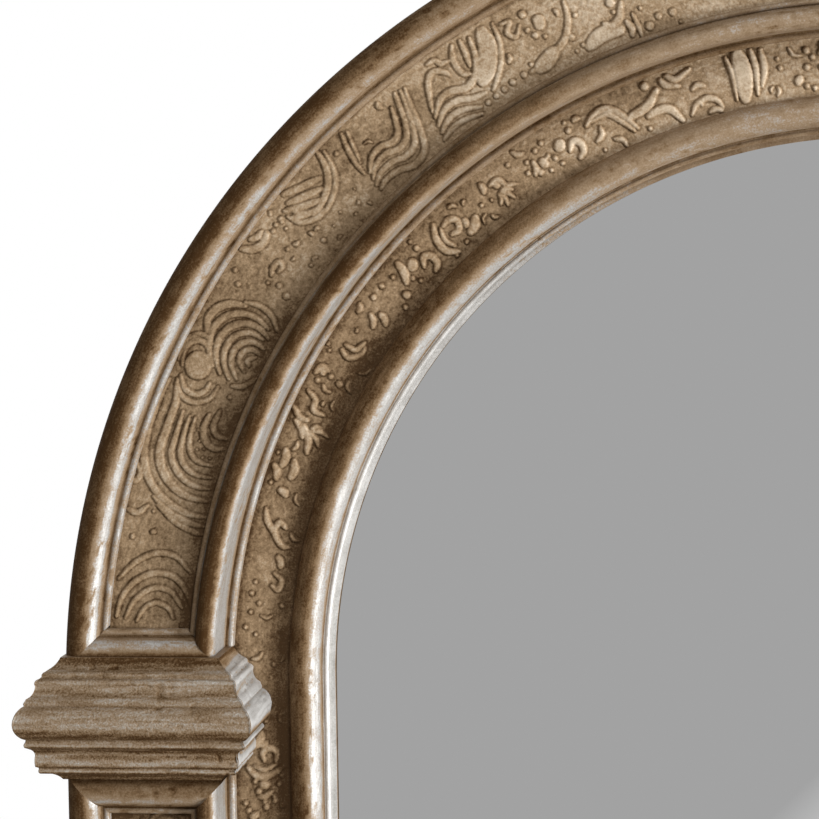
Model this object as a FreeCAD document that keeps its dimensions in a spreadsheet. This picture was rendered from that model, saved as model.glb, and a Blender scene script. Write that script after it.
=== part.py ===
import FreeCAD, Part
import math
import os
import Sketcher

# Arched wall mirror with an embossed frame, pilasters, capitals and plinths.
# X runs to the right, Z up, and the frame's face looks along -Y.
# The wall is the plane Y = 0, and Z = 0 is the height of the two hooks that it hangs on.

lengths = {
    # glass opening and the bands round it, from the glass outwards
    "sight_radius": 318,
    "lip_step_width": 3,
    "lip_bead_width": 3,
    "sight_roll_width": 18,
    "inner_frieze_width": 33,
    "bead_width": 3.5,
    "groove_width": 1,
    "mid_roll_width": 12,
    "outer_frieze_width": 48,
    "outer_roll_width": 19.5,
    # heights measured from the hooks
    "spring_height": 70,
    "base_drop": 950,
    # depths
    "wall_gap": 8,
    "board_thickness": 18,
    "inner_frieze_thickness": 18,
    "outer_frieze_thickness": 44,
    "groove_rise": 1.5,
    "inner_bead_drop": 25,
    "roll_rise": 56,
    "mid_roll_flank": 4.75,
    "outer_roll_flank": 1,
    "sight_rise": 25,
    "sight_roll_flank": 17,
    "lip_bead_drop": 9,
    "lip_step_drop": 4,
    # capitals and plinths
    "capital_rise": 21.5,
    "capital_height": 71.5,
    "capital_throw": 24,
    "plinth_throw": 22,
    "core_lip": 2,
    "cross_roll_trim": 9.5,
    "panel_roll_trim": 1,
    "seat_clearance": 0.3,
    # glass and backing
    "glass_thickness": 5,
    "backing_thickness": 6,
    "glass_cover": 12,
    "pane_clearance": 0.5,
    # dowels, clips and screws
    "dowel_diameter": 10,
    "dowel_length": 40,
    "fit_clearance": 0.1,
    "clip_thickness": 1.2,
    "clip_width": 15,
    "clip_foot": 16,
    "clip_toe": 14,
    "screw_diameter": 3.8,
    "screw_length": 12,
    "screw_tip": 3,
    "screw_head_diameter": 8,
    "screw_head_height": 2.4,
    "screw_head_edge": 1.2,
    # ring hangers and wall bumpers
    "strap_width": 17,
    "strap_thickness": 1.5,
    "strap_length": 64,
    "strap_screw_first": 33,
    "strap_screw_pitch": 20,
    "ring_wire_diameter": 4,
    "ring_play": 0.3,
    "ring_width": 28,
    "ring_leg": 8,
    "ring_corner": 4,
    "bumper_diameter": 22,
    "bumper_taper": 2,
    # extra length of every cutting tool
    "overrun": 5,
}

# Places along a piece, as shares of its length
dowel_place_shares = (0.25, 0.75)
stile_clip_shares = (0.2, 0.55, 0.85)
rail_clip_shares = (-0.5, 0.5)
head_clip_turn_shares = (0.3, 0.72)
bumper_turn_share = 0.5
sides = ((-1, "left"), (1, "right"))
quarter_turn = math.pi / 2

# A round stretch is given by its height over its chord
half_circle_share = 0.5
bead_round_share = 0.42
quarter_circle_share = math.tan(math.pi / 8) / 2
curl_turn = math.radians(250)
curl_share = math.tan(curl_turn / 4) / 2

# Mouldings of the capital and the plinth, from the top down: share of the height,
# share of the throw, and the share by which the stretch that follows is rounded out
capital_shares = (
    (0.0, 0.0, -0.1),
    (0.105, 0.34, 0.0),
    (0.12, 0.37, 0.0),
    (0.135, 0.37, 0.0),
    (0.15, 0.41, 0.3),
    (0.203, 0.5, -0.1),
    (0.285, 0.6, 0.0),
    (0.3, 0.68, 0.0),
    (0.335, 0.735, 0.0),
    (0.352, 0.72, 0.0),
    (0.362, 0.775, 0.24),
    (0.614, 0.775, 0.0),
    (0.63, 0.7, 0.0),
    (0.65, 0.715, 0.3),
    (0.697, 0.69, 0.0),
    (0.705, 0.65, -0.16),
    (0.77, 0.53, 0.05),
    (0.86, 0.53, 0.0),
    (0.87, 0.47, 0.0),
    (0.882, 0.46, 0.3),
    (0.925, 0.4, -0.12),
    (1.0, 0.0, 0.0),
)
plinth_shares = (
    (0.0, 0.0, -0.16),
    (0.08, 0.36, 0.0),
    (0.095, 0.4, 0.36),
    (0.16, 0.46, 0.0),
    (0.17, 0.42, -0.16),
    (0.25, 0.62, 0.0),
    (0.265, 0.72, 0.0),
    (0.3, 0.74, 0.36),
    (0.46, 0.78, 0.0),
    (0.47, 0.9, 0.0),
    (0.49, 1.0, 0.0),
    (1.0, 1.0, 0.0),
    (1.0, 0.0, 0.0),
)


class Size:
    # A length with its number and the sheet formula that it comes from

    def __init__(self, value, text):
        self.value = value
        self.text = text

    def __add__(self, other):
        other = as_size(other)
        return Size(self.value + other.value, f"({self.text} + {other.text})")

    def __sub__(self, other):
        other = as_size(other)
        return Size(self.value - other.value, f"({self.text} - {other.text})")

    def __mul__(self, other):
        other = as_size(other)
        return Size(self.value * other.value, f"({self.text} * {other.text})")

    def __truediv__(self, other):
        other = as_size(other)
        return Size(self.value / other.value, f"({self.text} / {other.text})")

    def __neg__(self):
        return Size(-self.value, f"(0 - {self.text})")


def as_size(thing):
    return thing if isinstance(thing, Size) else Size(float(thing), f"({float(thing)!r})")


doc = FreeCAD.newDocument("ArchedMirror")
sheet = doc.addObject("Spreadsheet::Sheet", "Sizes")
for row, (name, number) in enumerate(lengths.items(), 1):
    sheet.set(f"A{row}", name)
    sheet.set(f"B{row}", str(number))
    sheet.setAlias(f"B{row}", name)
doc.recompute()
size = {name: Size(float(number), f"Sizes.{name}") for name, number in lengths.items()}
zero = as_size(0)
parts = []

# Radii of the bands, from the glass outwards
sight_edge = size["sight_radius"]
lip_width = size["lip_step_width"] + size["lip_bead_width"] + size["groove_width"]
sight_width = lip_width + size["sight_roll_width"]
frieze_edge = sight_edge + sight_width
pilaster_inner = frieze_edge + size["inner_frieze_width"]
bead_and_groove = size["bead_width"] + size["groove_width"]
mid_width = size["mid_roll_width"] + bead_and_groove * 2
panel_inner = pilaster_inner + mid_width
panel_outer = panel_inner + size["outer_frieze_width"]
outer_width = size["outer_roll_width"] + bead_and_groove
pilaster_outer = panel_outer + outer_width
opening_radius = sight_edge + size["glass_cover"]
stile_centre = (opening_radius + pilaster_outer) / 2

# Heights
spring = size["spring_height"]
foot = -size["base_drop"]
plinth_height = pilaster_outer - pilaster_inner
plinth_top = foot + plinth_height
frieze_foot = plinth_top + size["inner_frieze_width"]
sight_foot = frieze_foot + sight_width
opening_foot = sight_foot - size["glass_cover"]
capital_top = spring + size["capital_rise"]
capital_foot = capital_top - size["capital_height"]
cross_width = outer_width - size["cross_roll_trim"]
panel_roll_width = outer_width - size["panel_roll_trim"]

# Depths from the wall towards the front
board_back = size["wall_gap"]
board_face = board_back + size["board_thickness"]
core_rise = size["roll_rise"] + size["core_lip"]
core_face = board_face + core_rise
glass_back = board_face - size["glass_thickness"]
backing_back = glass_back - size["backing_thickness"]
groove_level = size["outer_frieze_thickness"] + size["groove_rise"]


def new_body(label):
    body = doc.addObject("PartDesign::Body", label)
    body.Label = label
    parts.append(body)
    return body


def sketch_on(body, role, name, offset):
    sketch = body.newObject("Sketcher::SketchObject", name)
    plane = next(item for item in body.Origin.OriginFeatures if item.Role == role)
    sketch.AttachmentSupport = [(plane, "")]
    sketch.MapMode = "FlatFace"
    sketch.setExpression("AttachmentOffset.Base.z", offset.text)
    return sketch


def bind(sketch, kind, item, point, length):
    number = sketch.addConstraint(Sketcher.Constraint(kind, -1, 1, item, point, length.value))
    sketch.setExpression(f"Constraints[{number}]", length.text)


def draw_outline(sketch, corners, side=1):
    # Closed outline through corners (x, y, round): a rounded stretch bulges to the left of
    # the way round, and side -1 draws the mirror image
    corners = [(as_size(x) * side, as_size(y), as_size(bulge) * side) for x, y, bulge in corners]
    points = [FreeCAD.Vector(x.value, y.value, 0) for x, y, bulge in corners]
    first = sketch.GeometryCount
    ends = []
    for place, (x, y, bulge) in enumerate(corners):
        following = (place + 1) % len(corners)
        start = points[place]
        end = points[following]
        if bulge.value == 0:
            sketch.addGeometry(Part.LineSegment(start, end), False)
            ends.append((1, 2))
            continue
        next_x, next_y, unused = corners[following]
        lean = (bulge * bulge * 4 - 1) / (bulge * 8)
        centre_x = (x + next_x) / 2 - (next_y - y) * lean
        centre_y = (y + next_y) / 2 + (next_x - x) * lean
        centre = FreeCAD.Vector(centre_x.value, centre_y.value, 0)
        circle = Part.Circle(centre, FreeCAD.Vector(0, 0, 1), (start - centre).Length)
        turn_start = math.atan2(start.y - centre.y, start.x - centre.x)
        turn_end = math.atan2(end.y - centre.y, end.x - centre.x)
        leftward = bulge.value > 0
        turns = (turn_end, turn_start) if leftward else (turn_start, turn_end)
        number = sketch.addGeometry(Part.ArcOfCircle(circle, *turns), False)
        ends.append((2, 1) if leftward else (1, 2))
        flat = abs(end.x - start.x) > abs(end.y - start.y)
        if flat:
            bind(sketch, "DistanceY", number, 3, centre_y)
        else:
            bind(sketch, "DistanceX", number, 3, centre_x)
    for place, (x, y, bulge) in enumerate(corners):
        following = (place + 1) % len(corners)
        joint = (first + place, ends[place][1], first + following, ends[following][0])
        sketch.addConstraint(Sketcher.Constraint("Coincident", *joint))
        bind(sketch, "DistanceX", first + place, ends[place][0], x)
        bind(sketch, "DistanceY", first + place, ends[place][0], y)


def draw_box(sketch, left, low, right, high):
    draw_outline(sketch, [(left, low, 0), (right, low, 0), (right, high, 0), (left, high, 0)])


def draw_circle(sketch, x, y, radius):
    centre = FreeCAD.Vector(x.value, y.value, 0)
    circle = Part.Circle(centre, FreeCAD.Vector(0, 0, 1), radius.value)
    number = sketch.addGeometry(circle, False)
    bind(sketch, "DistanceX", number, 3, x)
    bind(sketch, "DistanceY", number, 3, y)
    rule = sketch.addConstraint(Sketcher.Constraint("Radius", number, radius.value))
    sketch.setExpression(f"Constraints[{rule}]", radius.text)


def pad(body, sketch, length, reverse=False):
    feature = body.newObject("PartDesign::Pad", "Run")
    feature.Profile = sketch
    feature.Reversed = reverse
    feature.setExpression("Length", length.text)


def cut_through(body, sketch):
    feature = body.newObject("PartDesign::Pocket", "Cut")
    feature.Profile = sketch
    feature.Type = "ThroughAll"
    feature.SideType = "Symmetric"


def cut_both_ways(body, sketch, length):
    feature = body.newObject("PartDesign::Pocket", "Bore")
    feature.Profile = sketch
    feature.SideType = "Symmetric"
    feature.setExpression("Length", length.text)


def drill_from_back(body, places):
    # Pilot holes for the screws, drilled from the back of a board
    sketch = sketch_on(body, "XZ_Plane", "PilotPlaces", board_back)
    for x, z in places:
        draw_circle(sketch, x, z, size["screw_diameter"] / 2 + size["fit_clearance"])
    feature = body.newObject("PartDesign::Pocket", "Pilot")
    feature.Profile = sketch
    feature.Reversed = True
    feature.setExpression("Length", size["screw_length"].text)


def box(label, low, high):
    # Square block from its low corner (x, depth, z) to its high corner
    block = doc.addObject("Part::Box", label)
    block.Label = label
    block.setExpression("Length", (high[0] - low[0]).text)
    block.setExpression("Width", (high[1] - low[1]).text)
    block.setExpression("Height", (high[2] - low[2]).text)
    block.setExpression("Placement.Base.x", low[0].text)
    block.setExpression("Placement.Base.y", (-high[1]).text)
    block.setExpression("Placement.Base.z", low[2].text)
    parts.append(block)


def span(side, near, far):
    # The two ends along X of a stretch that lies on one side of the mirror, in rising order
    return (near, far) if side > 0 else (-far, -near)


# Sections of the mouldings: (way inwards from the outer edge, rise over the boards, round)


def outer_section():
    roll_foot = groove_level + size["outer_roll_flank"]
    bead_start = size["outer_roll_width"] + size["groove_width"]
    return [
        (zero, zero, 0),
        (zero, roll_foot, (size["roll_rise"] - roll_foot) / size["outer_roll_width"]),
        (size["outer_roll_width"], roll_foot, 0),
        (size["outer_roll_width"], groove_level, 0),
        (bead_start, groove_level, bead_round_share),
        (outer_width, groove_level, 0),
        (outer_width, zero, 0),
    ]


def mid_section():
    roll_foot = groove_level + size["mid_roll_flank"]
    roll_end = bead_and_groove + size["mid_roll_width"]
    low_level = groove_level - size["inner_bead_drop"]
    return [
        (zero, zero, 0),
        (zero, groove_level, bead_round_share),
        (size["bead_width"], groove_level, 0),
        (bead_and_groove, groove_level, 0),
        (bead_and_groove, roll_foot, (size["roll_rise"] - roll_foot) / size["mid_roll_width"]),
        (roll_end, roll_foot, 0),
        (roll_end, low_level, 0),
        (roll_end + size["groove_width"], low_level, bead_round_share),
        (mid_width, low_level, 0),
        (mid_width, zero, 0),
    ]


def sight_section():
    flank = size["sight_roll_flank"]
    roll = size["sight_roll_width"]
    bead_start = roll + size["groove_width"]
    bead_end = bead_start + size["lip_bead_width"]
    bead_level = flank - size["lip_bead_drop"]
    lip_level = bead_level - size["lip_step_drop"]
    return [
        (zero, zero, 0),
        (zero, flank, (size["sight_rise"] - flank) / roll),
        (roll, flank, 0),
        (roll, bead_level, 0),
        (bead_start, bead_level, bead_round_share),
        (bead_end, bead_level, 0),
        (bead_end, lip_level, 0),
        (sight_width, lip_level, 0),
        (sight_width, zero, 0),
    ]


def flat_section(width, thickness):
    return [(zero, zero, 0), (zero, thickness, 0), (width, thickness, 0), (width, zero, 0)]


# Runs of moulding


def arch_run(label, edge, section, foot_shape=None, side=0):
    # A moulding turned round the whole arch, or with a side round its half up to the crown,
    # and cut along foot_shape where it stands on the capital
    body = new_body(label)
    sketch = sketch_on(body, "XY_Plane", "Section", spring)
    corners = [(edge - way, -(board_face + rise), bulge) for way, rise, bulge in section]
    draw_outline(sketch, corners, side or 1)
    turned = body.newObject("PartDesign::Revolution", "Arch")
    turned.Profile = sketch
    turned.ReferenceAxis = (sketch, ["V_Axis"])
    turned.Angle = 90 if side else 180
    turned.Reversed = side >= 0
    if foot_shape:
        area = sketch_on(body, "XZ_Plane", "Foot", zero)
        wide = edge + size["overrun"]
        below = spring - size["overrun"]
        rim = [(wide, below)] + foot_shape(wide)
        middle = [(-x, z) for x, z in reversed(rim)]
        if side:
            middle = [(zero, rim[-1][1]), (zero, below)]
        draw_outline(area, [(x, z, 0) for x, z in rim + middle], side or 1)
        cut_through(body, area)


def upright_run(label, side, edge, section, low, high):
    body = new_body(label)
    sketch = sketch_on(body, "XY_Plane", "Section", low)
    draw_outline(sketch, [(edge - way, -(board_face + rise), bulge) for way, rise, bulge in section], side)
    pad(body, sketch, high - low)
    return body


def level_run(label, section, edge, rising, left, right):
    # A moulding along X, whose outer edge lies at the height edge; rising -1 turns it over
    body = new_body(label)
    sketch = sketch_on(body, "YZ_Plane", "Section", left)
    corners = [(-(board_face + rise), edge + way * rising, bulge * rising) for way, rise, bulge in section]
    draw_outline(sketch, corners)
    pad(body, sketch, right - left)
    return body


def cut_outlines(body, outlines, side=1):
    area = sketch_on(body, "XZ_Plane", "MitreArea", zero)
    for outline in outlines:
        draw_outline(area, [(x, z, 0) for x, z in outline], side)
    cut_through(body, area)


# Boards of the carcass, with dowelled joints


def on_arch(radius, turn):
    return radius * math.cos(turn), spring + radius * math.sin(turn)


def clip_places():
    # Clips round the opening's edge, by board: x, height and the angle of the way outwards
    rail = [(opening_radius * share, opening_foot, -quarter_turn) for share in rail_clip_shares]
    places = {"bottom_rail": rail}
    upright = spring - opening_foot
    for side, name in sides:
        out = 0 if side > 0 else math.pi
        heights = [opening_foot + upright * share for share in stile_clip_shares]
        places[f"stile_{name}"] = [(opening_radius * side, height, out) for height in heights]
        turns = [out + side * quarter_turn * share for share in head_clip_turn_shares]
        places[f"head_{name}"] = [(*on_arch(opening_radius, turn), turn) for turn in turns]
    return places


def clip_screw_place(x, z, turn):
    way = size["clip_foot"] / 2
    return x + way * math.cos(turn), z + way * math.sin(turn)


def make_boards():
    bore = size["dowel_diameter"] / 2 + size["fit_clearance"]
    bore_depth = size["dowel_length"] + size["fit_clearance"] * 2
    dowel_depth = (board_back + board_face) / 2
    face_width = pilaster_outer - opening_radius
    rail_height = opening_foot - foot
    across = [opening_radius + face_width * share for share in dowel_place_shares]
    upwards = [foot + rail_height * share for share in dowel_place_shares]
    pilots = {}
    for board, places in clip_places().items():
        pilots[board] = [clip_screw_place(*place) for place in places]
    for side, name in sides:
        head = new_body(f"head_{name}")
        plan = sketch_on(head, "XZ_Plane", "Plan", board_back)
        draw_outline(plan, [
            (opening_radius, spring, 0),
            (pilaster_outer, spring, -quarter_circle_share),
            (zero, spring + pilaster_outer, 0),
            (zero, spring + opening_radius, quarter_circle_share),
        ], side)
        pad(head, plan, size["board_thickness"])
        crown = sketch_on(head, "YZ_Plane", "CrownDowels", zero)
        for place in across:
            draw_circle(crown, -dowel_depth, spring + place, bore)
        cut_both_ways(head, crown, bore_depth)
        joint = sketch_on(head, "XY_Plane", "SpringDowels", spring)
        for place in across:
            draw_circle(joint, place * side, -dowel_depth, bore)
        cut_both_ways(head, joint, bore_depth)
        drill_from_back(head, pilots[f"head_{name}"])

        stile = new_body(f"stile_{name}")
        plan = sketch_on(stile, "XZ_Plane", "Plan", board_back)
        left, right = span(side, opening_radius, pilaster_outer)
        draw_box(plan, left, foot, right, spring)
        pad(stile, plan, size["board_thickness"])
        joint = sketch_on(stile, "XY_Plane", "SpringDowels", spring)
        for place in across:
            draw_circle(joint, place * side, -dowel_depth, bore)
        cut_both_ways(stile, joint, bore_depth)
        joint = sketch_on(stile, "YZ_Plane", "RailDowels", opening_radius * side)
        for place in upwards:
            draw_circle(joint, -dowel_depth, place, bore)
        cut_both_ways(stile, joint, bore_depth)
        strap_pilots = [(stile_centre * side, height) for height in strap_screw_heights()]
        drill_from_back(stile, pilots[f"stile_{name}"] + strap_pilots)

    rail = new_body("bottom_rail")
    plan = sketch_on(rail, "XZ_Plane", "Plan", board_back)
    draw_box(plan, -opening_radius, foot, opening_radius, opening_foot)
    pad(rail, plan, size["board_thickness"])
    for side in (-1, 1):
        joint = sketch_on(rail, "YZ_Plane", "RailDowels", opening_radius * side)
        for place in upwards:
            draw_circle(joint, -dowel_depth, place, bore)
        cut_both_ways(rail, joint, bore_depth)
    drill_from_back(rail, pilots["bottom_rail"])

    # Dowels: two at the crown, two at each springing and two at each bottom corner
    half = size["dowel_length"] / 2
    along_x = FreeCAD.Rotation(FreeCAD.Vector(0, 1, 0), 90)
    upright = FreeCAD.Rotation()
    pins = []
    for place in across:
        pins.append(dowel(-half, spring + place, dowel_depth, along_x))
    for side in (-1, 1):
        for place in across:
            pins.append(dowel(place * side, spring - half, dowel_depth, upright))
        for place in upwards:
            pins.append(dowel(opening_radius * side - half, place, dowel_depth, along_x))
    gather("joint_dowels", pins)


def dowel(x, z, depth, turn):
    pin = doc.addObject("Part::Cylinder", "Dowel")
    pin.Placement = FreeCAD.Placement(FreeCAD.Vector(), turn)
    pin.setExpression("Radius", (size["dowel_diameter"] / 2).text)
    pin.setExpression("Height", size["dowel_length"].text)
    pin.setExpression("Placement.Base.x", x.text)
    pin.setExpression("Placement.Base.y", (-depth).text)
    pin.setExpression("Placement.Base.z", z.text)
    return pin


def gather(label, pieces):
    group = doc.addObject("Part::Compound", label)
    group.Label = label
    group.Links = pieces
    parts.append(group)


# Mouldings and friezes round the glass


def make_arch():
    arch_run("sight_roll_arch", frieze_edge, sight_section())
    arch_run("inner_frieze_arch", pilaster_inner,
             flat_section(size["inner_frieze_width"], size["inner_frieze_thickness"]))
    panel = flat_section(size["outer_frieze_width"], size["outer_frieze_thickness"])
    arch_run("outer_frieze_arch", panel_outer, panel, level_foot)
    for side, name in sides:
        arch_run(f"mid_roll_arch_{name}", panel_inner, mid_section(), inward_mitred_foot, side)
        arch_run(f"outer_roll_arch_{name}", pilaster_outer, outer_section(), outward_mitred_foot, side)


# Feet of the arch's mouldings, from the outside to the middle: the panel stops at the cross
# roll, and the rolls stand on the capital with a mitre against the cross roll


def level_foot(wide):
    return [(wide, capital_top + cross_width)]


def inward_mitred_foot(wide):
    reach = wide - panel_inner
    return [(wide, capital_top + cross_width + reach), (panel_inner - cross_width, capital_top)]


def outward_mitred_foot(wide):
    inside = panel_outer - size["overrun"]
    top = capital_top + cross_width + size["overrun"]
    return [(wide, capital_top), (panel_outer + cross_width, capital_top), (inside, top)]


def mitre_corner(edge, outwards, level, rising):
    # Triangle that a cross roll takes out of an upright roll beside a panel
    inside = edge - size["overrun"] * outwards
    high = level + panel_roll_width * rising
    return [
        (inside, level - size["overrun"] * rising),
        (edge + (panel_roll_width + size["overrun"]) * outwards, level - size["overrun"] * rising),
        (inside, high + size["overrun"] * rising),
    ]


def make_sight_frame():
    thickness = size["inner_frieze_thickness"]
    for side, name in sides:
        frieze = new_body(f"inner_frieze_{name}")
        plan = sketch_on(frieze, "XZ_Plane", "Plan", board_face)
        draw_outline(plan, [
            (frieze_edge, frieze_foot, 0),
            (pilaster_inner, plinth_top, 0),
            (pilaster_inner, spring, 0),
            (frieze_edge, spring, 0),
        ], side)
        pad(frieze, plan, thickness)
        roll = upright_run(f"sight_roll_{name}", side, frieze_edge, sight_section(), frieze_foot, spring)
        reach = size["overrun"]
        cut_outlines(roll, [[
            (frieze_edge + reach, frieze_foot - reach),
            (sight_edge - reach, sight_foot + reach),
            (sight_edge - reach, frieze_foot - reach),
        ]], side)
    frieze = new_body("inner_frieze_bottom")
    plan = sketch_on(frieze, "XZ_Plane", "Plan", board_face)
    draw_outline(plan, [
        (-pilaster_inner, plinth_top, 0),
        (pilaster_inner, plinth_top, 0),
        (frieze_edge, frieze_foot, 0),
        (-frieze_edge, frieze_foot, 0),
    ])
    pad(frieze, plan, thickness)
    roll = level_run("sight_roll_bottom", sight_section(), frieze_foot, 1, -frieze_edge, frieze_edge)
    reach = size["overrun"]
    for side in (-1, 1):
        cut_outlines(roll, [[
            (frieze_edge + reach, frieze_foot - reach),
            (frieze_edge + reach, sight_foot + reach),
            (sight_edge - reach, sight_foot + reach),
        ]], side)


# Pilasters: a panel in a mitred frame of rolls between the plinth and the capital


def cross_roll(label, side, level, rising, trim):
    # Roll across the head or foot of a panel. It beds on the level below or above it, which
    # trims its far edge, and its ends are mitred into the upright rolls.
    left, right = span(side, panel_inner - outer_width, panel_outer + outer_width)
    edge = level - trim * rising
    body = level_run(label, outer_section(), edge, rising, left, right)
    reach = size["overrun"]
    high = edge + outer_width * rising
    beyond = high + reach * rising
    below = edge - reach * rising
    near = panel_inner - outer_width - reach
    far = panel_outer + outer_width + reach
    cut_outlines(body, [[(near, below), (far, below), (far, level), (near, level)]], side)
    cut_outlines(body, [[
        (panel_inner + reach, beyond),
        (near, beyond),
        (near, below),
        (pilaster_inner, below),
        (pilaster_inner, high - mid_width * rising),
    ], [
        (panel_outer - reach, beyond),
        (far, beyond),
        (far, below),
    ]], side)


def make_pilasters():
    for side, name in sides:
        cross_roll(f"cross_roll_{name}", side, capital_top, 1, size["cross_roll_trim"])
        cross_roll(f"pilaster_top_roll_{name}", side, capital_foot, -1, size["panel_roll_trim"])
        cross_roll(f"pilaster_foot_roll_{name}", side, plinth_top, 1, size["panel_roll_trim"])
        outer = upright_run(f"pilaster_outer_roll_{name}", side, pilaster_outer, outer_section(),
                            plinth_top, capital_foot)
        inner = upright_run(f"pilaster_inner_roll_{name}", side, panel_inner, mid_section(),
                            plinth_top, capital_foot)
        for level, rising in ((capital_foot, -1), (plinth_top, 1)):
            cut_outlines(outer, [mitre_corner(panel_outer, 1, level, rising)], side)
            cut_outlines(inner, [mitre_corner(panel_inner, -1, level, rising)], side)
        left, right = span(side, panel_inner, panel_outer)
        panel_face = board_face + size["outer_frieze_thickness"]
        box(f"pilaster_panel_{name}",
            (left, board_face, plinth_top + panel_roll_width),
            (right, panel_face, capital_foot - panel_roll_width))


# Capitals and plinths: a core block faced with a moulding that is mitred round its corners


def make_block(kind, shares, side, name, top, height, throw, inner_back):
    low = top - height
    left, right = span(side, pilaster_inner, pilaster_outer)
    box(f"{kind}_core_{name}", (left, board_face, low), (right, core_face, top))
    profile = [(throw * out, top - height * down, bulge) for down, out, bulge in shares]
    reach = size["overrun"]
    tip = throw + reach

    front = new_body(f"{kind}_front_{name}")
    left, right = span(side, pilaster_inner - throw, pilaster_outer + throw)
    section = sketch_on(front, "YZ_Plane", "Section", left)
    draw_outline(section, [(-(core_face + out), z, -bulge) for out, z, bulge in profile])
    pad(front, section, right - left)
    mitre = sketch_on(front, "XY_Plane", "Mitre", zero)
    for edge, outwards in ((pilaster_outer, 1), (pilaster_inner, -1)):
        draw_outline(mitre, [
            (edge - reach * outwards, -(core_face - reach), 0),
            (edge + tip * outwards, -(core_face + tip), 0),
            (edge + tip * outwards, -(core_face - reach), 0),
        ], side)
    cut_through(front, mitre)

    ends = (("outer", pilaster_outer, 1, board_back), ("inner", pilaster_inner, -1, inner_back))
    for end, edge, outwards, back in ends:
        piece = new_body(f"{kind}_{end}_return_{name}")
        section = sketch_on(piece, "XZ_Plane", "Section", back)
        corners = [(edge + out * outwards, z, bulge * outwards) for out, z, bulge in profile]
        draw_outline(section, corners, side)
        pad(piece, section, core_face + throw - back)
        mitre = sketch_on(piece, "XY_Plane", "Mitre", zero)
        draw_outline(mitre, [
            (edge - reach * outwards, -(core_face - reach), 0),
            (edge + tip * outwards, -(core_face + tip), 0),
            (edge - reach * outwards, -(core_face + tip), 0),
        ], side)
        cut_through(piece, mitre)


def make_blocks():
    over_frieze = board_face + size["inner_frieze_thickness"]
    over_rolls = board_face + size["roll_rise"] + size["seat_clearance"]
    for side, name in sides:
        make_block("capital", capital_shares, side, name, capital_top, size["capital_height"],
                   size["capital_throw"], over_frieze)
        make_block("plinth", plinth_shares, side, name, plinth_top, plinth_height,
                   size["plinth_throw"], over_rolls)


def make_sill():
    level_run("sill_foot_roll", outer_section(), foot, 1, -pilaster_inner, pilaster_inner)
    panel_low = foot + outer_width
    panel_high = panel_low + size["outer_frieze_width"]
    box("sill_panel",
        (-pilaster_inner, board_face, panel_low),
        (pilaster_inner, board_face + size["outer_frieze_thickness"], panel_high))
    level_run("sill_top_roll", mid_section(), panel_high, 1, -pilaster_inner, pilaster_inner)


# Glass, backing board and what holds them


def arched_sheet(label, back, thickness):
    body = new_body(label)
    plan = sketch_on(body, "XZ_Plane", "Plan", back)
    reach = opening_radius - size["pane_clearance"]
    draw_outline(plan, [
        (-reach, opening_foot + size["pane_clearance"], 0),
        (reach, opening_foot + size["pane_clearance"], 0),
        (reach, spring, -half_circle_share),
        (-reach, spring, 0),
    ])
    pad(body, plan, thickness)


def make_screw():
    # Pan-headed screw along Y, seated at its origin, with its point towards the front
    screw = new_body("screw_pattern")
    parts.remove(screw)
    head = size["screw_head_diameter"] / 2
    head_slope = size["screw_head_height"] - size["screw_head_edge"]
    shank = size["screw_diameter"] / 2
    sketch = sketch_on(screw, "XY_Plane", "Section", zero)
    draw_outline(sketch, [
        (zero, -size["screw_length"], 0),
        (shank, -(size["screw_length"] - size["screw_tip"]), 0),
        (shank, zero, 0),
        (head, zero, 0),
        (head, size["screw_head_edge"], 0),
        (head - head_slope, size["screw_head_height"], 0),
        (zero, size["screw_head_height"], 0),
    ])
    turned = screw.newObject("PartDesign::Revolution", "Turned")
    turned.Profile = sketch
    turned.ReferenceAxis = (sketch, ["V_Axis"])
    turned.Angle = 360
    return screw


def make_clip():
    # Offset clip: the foot lies on the board, the toe holds the backing in its rebate.
    # Its X axis points away from the opening, and X = 0 is the opening's edge.
    clip = new_body("clip_pattern")
    parts.remove(clip)
    thick = size["clip_thickness"]
    near = -size["pane_clearance"]
    sketch = sketch_on(clip, "XY_Plane", "Section", -size["clip_width"] / 2)
    draw_outline(sketch, [
        (size["clip_foot"], -board_back, 0),
        (size["clip_foot"], -(board_back - thick), 0),
        (near - thick, -(board_back - thick), 0),
        (near - thick, -(backing_back - thick), 0),
        (-size["clip_toe"], -(backing_back - thick), 0),
        (-size["clip_toe"], -backing_back, 0),
        (near, -backing_back, 0),
        (near, -board_back, 0),
    ])
    pad(clip, sketch, size["clip_width"])
    hole = sketch_on(clip, "XZ_Plane", "ScrewHole", zero)
    draw_circle(hole, size["clip_foot"] / 2, zero, size["screw_diameter"] / 2 + size["fit_clearance"])
    cut_through(clip, hole)
    return clip


def copy_at(pattern, x, depth, z, turn=0):
    # One more of a repeated piece, turned about the depth axis
    copy = doc.addObject("App::Link", f"{pattern.Label}_copy")
    copy.LinkedObject = pattern
    copy.Placement = FreeCAD.Placement(FreeCAD.Vector(), FreeCAD.Rotation(FreeCAD.Vector(0, 1, 0), turn))
    copy.setExpression("Placement.Base.x", x.text)
    copy.setExpression("Placement.Base.y", (-depth).text)
    copy.setExpression("Placement.Base.z", z.text)
    return copy


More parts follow.
